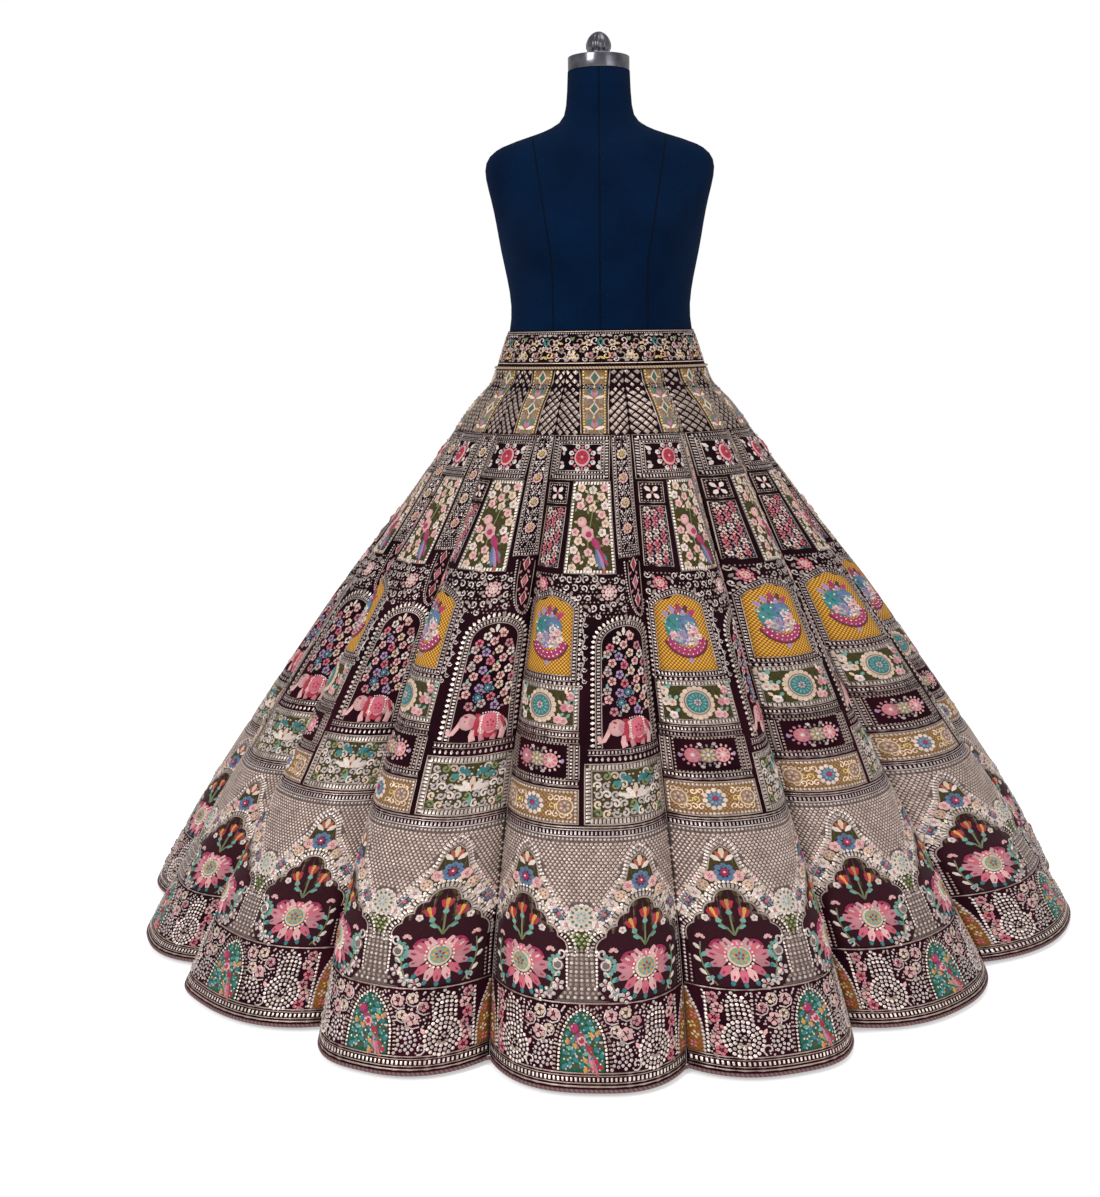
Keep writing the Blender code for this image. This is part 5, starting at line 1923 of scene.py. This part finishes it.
# %% Silk thread
floss = Finish("silk_floss", 0.5, Sheen_Weight=0.05, Specular_IOR_Level=0.4)
thread = floss.attribute("thread")
strand = floss.wave(420.0, floss.moved(floss.place, (1, 1, 1.0), (0.5, 0.4, 0.7)), 6.0)
wear = floss.noise(140.0, 3.0)
shaded = floss.mix(floss.span(strand, 0.0, 1.0, 0.5, 0.0), thread["Color"], (0.10, 0.05, 0.06), "MULTIPLY")
floss.colour(floss.mix(floss.span(wear, 0.40, 0.78, 0.0, 0.12), shaded, (0.34, 0.26, 0.24)))
floss.rough(floss.span(strand, 0.0, 1.0, 0.45, 0.65))
floss.bump(strand, 0.0004, 0.5)
dress(floss, "zari_beads", *[pieces[1] for pieces in kali_work])
dress(floss, "waistband_embroidery", band_work[0])

# %% [markdown]
# Zari is silk wound with rose-silver foil, and the beads are silvered glass. Both glint in points and read
# as dull metal between them, so their roughness varies finely and the foil is a little tarnished.

# %% Zari and beads
foil = Finish("rose_silver_zari", 0.38, 0.55, Specular_IOR_Level=0.6)
thread = foil.attribute("thread")
grain = foil.noise(520.0, 2.0)
tarnish = foil.noise(60.0, 4.0)
worn = foil.mix(foil.span(tarnish, 0.42, 0.72, 0.0, 0.45), thread["Color"], (0.16, 0.10, 0.075))
foil.colour(worn)
foil.rough(foil.span(grain, 0.3, 0.7, 0.18, 0.50))
foil.bump(grain, 0.0005, 0.5)
dress(foil, "zari_beads", *[pieces[2] for pieces in kali_work])
dress(foil, "waistband_embroidery", band_work[1])
dress(velvet, "waistband_embroidery", band_cloth)


# %% Twisted cords
def twisted(name, light, dark, turns_along, roughness, metallic):
    braid = Finish(name, roughness, metallic)
    along = braid.moved(braid.map, (turns_along, 1, 1))
    parts = braid.split(along)
    phase = braid.maths("ADD", parts[0], parts[1])
    ply = braid.maths("PINGPONG", phase, 0.5)
    fuzz = braid.noise(700.0, 2.0)
    # Painted shade in the twist: the dark colour lies in the grooves between the plies and the light one on
    # their crowns, and fine noise mixes a little more of that shade in.
    colour = braid.mix(braid.span(ply, 0.02, 0.28), dark, light)
    braid.colour(braid.mix(braid.span(fuzz, 0.35, 0.7, 0.0, 0.35), colour, dark))
    braid.bump(ply, 0.0012, 0.8)
    braid.bump(fuzz, 0.0002, 0.4)
    return braid


WAIST_LAY, HEM_LAY = 0.005, 0.006  # one turn of the twist, in metres
# The second colour of each cord is the painted shade in its grooves.
cream_cord = twisted("cream_twisted_cord", (0.46, 0.34, 0.22), (0.10, 0.05, 0.035),
                     waist_piping_length / WAIST_LAY, 0.55, 0.1)
dress(cream_cord, "cream_cord", waist_piping)
rolled = twisted("rolled_hem_cord", (0.17, 0.085, 0.080), (0.040, 0.008, 0.014),
                 hem_piping_length / HEM_LAY, 0.6, 0.0)
dress(rolled, "hem_cord", hem_piping)

# %% [markdown]
# The form wears a navy jersey cover. Its knit is too fine to model, so it is a bump of tiny columns, and
# the seams of the cover are shallow furrows: one down the middle and one on each side of the bust.

# %% The jersey cover
jersey = Finish("navy_jersey", 0.92, Sheen_Weight=0.006, Sheen_Roughness=0.5,
                Sheen_Tint=(0.35, 0.55, 0.75, 1), Specular_IOR_Level=0.04)
x, y, z = jersey.split(jersey.place)
around = jersey.maths("ARCTAN2", x, y)
knit = jersey.wave(260.0, jersey.place, 1.0, "Z")
columns = jersey.maths("SINE", jersey.maths("MULTIPLY", around, 420.0))
cloudy = jersey.noise(14.0, 4.0)
lint = jersey.span(jersey.noise(420.0, 2.0), 0.70, 0.78)
base_blue = jersey.mix(jersey.span(cloudy, 0.3, 0.7), (0.0004, 0.0052, 0.0200), (0.0006, 0.0080, 0.0290))
aside = jersey.maths("ABSOLUTE", x)
middle_seam = jersey.span(aside, 0.0006, 0.0018)
from_seam = jersey.maths("SUBTRACT", aside, jersey.span(z, 1.05, 1.24, 0.075, 0.105))
princess = jersey.span(jersey.maths("ABSOLUTE", from_seam), 0.0006, 0.0018)
seam = jersey.maths("MULTIPLY", middle_seam, princess)
shadowed = jersey.mix(seam, (0.0012, 0.004, 0.010), base_blue)
jersey.colour(jersey.mix(jersey.maths("MULTIPLY", lint, 0.3), shadowed, (0.05, 0.07, 0.10)))
jersey.bump(jersey.maths("ADD", knit, columns), 0.0002, 0.35)
jersey.bump(seam, 0.0012, 0.9)
dress(jersey, "form_jersey", torso)

# %% Chrome, pole and enamel
chrome = Finish("polished_chrome", 0.14, 1.0)
smudge = chrome.noise(38.0, 4.0)
chrome.colour(chrome.mix(chrome.span(smudge, 0.35, 0.7), (0.17, 0.17, 0.195), (0.055, 0.050, 0.062)))
chrome.rough(chrome.span(smudge, 0.35, 0.75, 0.16, 0.34))
chrome.bump(chrome.noise(900.0, 1.0), 0.0001, 0.2)
dress(chrome, "form_chrome", cap, knob)
steel = Finish("brushed_pole", 0.26, 1.0)
brushing = steel.noise(60.0, 3.0, steel.moved(steel.place, (1, 1, 0.03)))
steel.colour(steel.mix(brushing, (0.62, 0.62, 0.64), (0.42, 0.42, 0.44)))
steel.rough(steel.span(brushing, 0.3, 0.7, 0.18, 0.36))
steel.bump(brushing, 0.0002, 0.3)
enamel = Finish("black_enamel", 0.38, 0.0, Coat_Weight=0.3, Coat_Roughness=0.2)
peel = enamel.noise(160.0, 3.0)
x, y, z = enamel.split(enamel.place)
squares = enamel.maths("ADD", enamel.maths("MULTIPLY", x, x), enamel.maths("MULTIPLY", y, y))
rim = enamel.span(enamel.maths("SQRT", squares), 0.208, 0.215)
rubbed = enamel.maths("MULTIPLY", rim, enamel.span(enamel.noise(45.0, 4.0), 0.5, 0.62))
enamel.colour(enamel.mix(rubbed, (0.012, 0.012, 0.014), (0.10, 0.095, 0.09)))
enamel.rough(enamel.span(peel, 0.3, 0.7, 0.30, 0.48))
enamel.bump(peel, 0.0003, 0.3)
for node, finish in (("form_pole", steel), ("form_base", enamel)):
    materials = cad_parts[node].data.materials
    materials.clear()
    materials.append(finish.material)
print("finishes:", [material.name for material in bpy.data.materials if material.users])

# %% [markdown]
# The imported pieces that the new ones stand for are hidden.

# %% Hide the imported pieces that are replaced
for number, (cloth, pieces) in enumerate(zip(kali_cloth, kali_work)):
    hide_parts(f"kali_{number + 1:02d}")
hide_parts("waistband")
for piece, node in ((waist_piping, "waist_piping"), (hem_piping, "hem_piping"), (torso, "form_torso"),
                    (cap, "form_neck_cap"), (knob, "form_knob")):
    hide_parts(node)

# %% [markdown]
# The skirt stands on a plain pale floor in soft studio light: a broad key in front to the left, a weaker
# fill to the right and a light overhead. The camera stands 2.4 metres away at waist height, tilted down.

# %% Floor and light
deselect_all()
bpy.ops.mesh.primitive_grid_add(x_subdivisions=8, y_subdivisions=8, size=30, location=(0, 5, 0))
floor = bpy.context.object
floor.name = "studio_floor"
bpy.ops.object.transform_apply()
paper = Finish("studio_paper", 0.9, Emission_Color=(1, 1, 1, 1), Emission_Strength=0.46)
paper.colour(paper.mix(paper.noise(3.0), (0.86, 0.86, 0.86), (0.88, 0.88, 0.88)))
floor.data.materials.append(paper.material)
world = bpy.data.worlds.new("studio")
world.use_nodes = True
backdrop = world.node_tree.nodes["Background"]
backdrop.inputs["Color"].default_value = (1.0, 1.0, 1.0, 1)
seen = world.node_tree.nodes.new("ShaderNodeLightPath")
strength = world.node_tree.nodes.new("ShaderNodeMapRange")
strength.inputs["To Min"].default_value = 0.62
strength.inputs["To Max"].default_value = 1.0
world.node_tree.links.new(seen.outputs["Is Camera Ray"], strength.inputs["Value"])
world.node_tree.links.new(strength.outputs["Result"], backdrop.inputs["Strength"])
bpy.context.scene.world = world
bpy.context.scene.view_settings.view_transform = "Standard"


def soft_light(name, place, aim, size, power):
    light = bpy.data.lights.new(name, "AREA")
    light.size = size
    light.energy = power
    lamp = new_object(name, light)
    lamp.location = place
    lamp.rotation_euler = (Vector(aim) - Vector(place)).to_track_quat("-Z", "Y").to_euler()


soft_light("key", (-1.9, -3.1, 2.7), (0, 0, 0.5), 1.6, 75)
soft_light("fill", (2.6, -2.6, 1.6), (0, 0, 0.5), 2.0, 20)
soft_light("top", (0.4, -0.6, 3.6), (0, 0, 0.6), 1.6, 30)

# %% Camera
PITCH, YAW, ROLL = radians(10.3), radians(-2.15), radians(-0.8)
lens = bpy.data.cameras.new("studio_camera")
lens.sensor_width = 36
lens.lens = 42.77
camera = new_object("studio_camera", lens)
tilted = Matrix.Rotation(pi / 2 - PITCH, 4, "X") @ Matrix.Rotation(ROLL, 4, "Z")
camera.matrix_world = Matrix.Translation((0, -2.402, 0.93)) @ Matrix.Rotation(-YAW, 4, "Z") @ tilted
bpy.context.scene.camera = camera
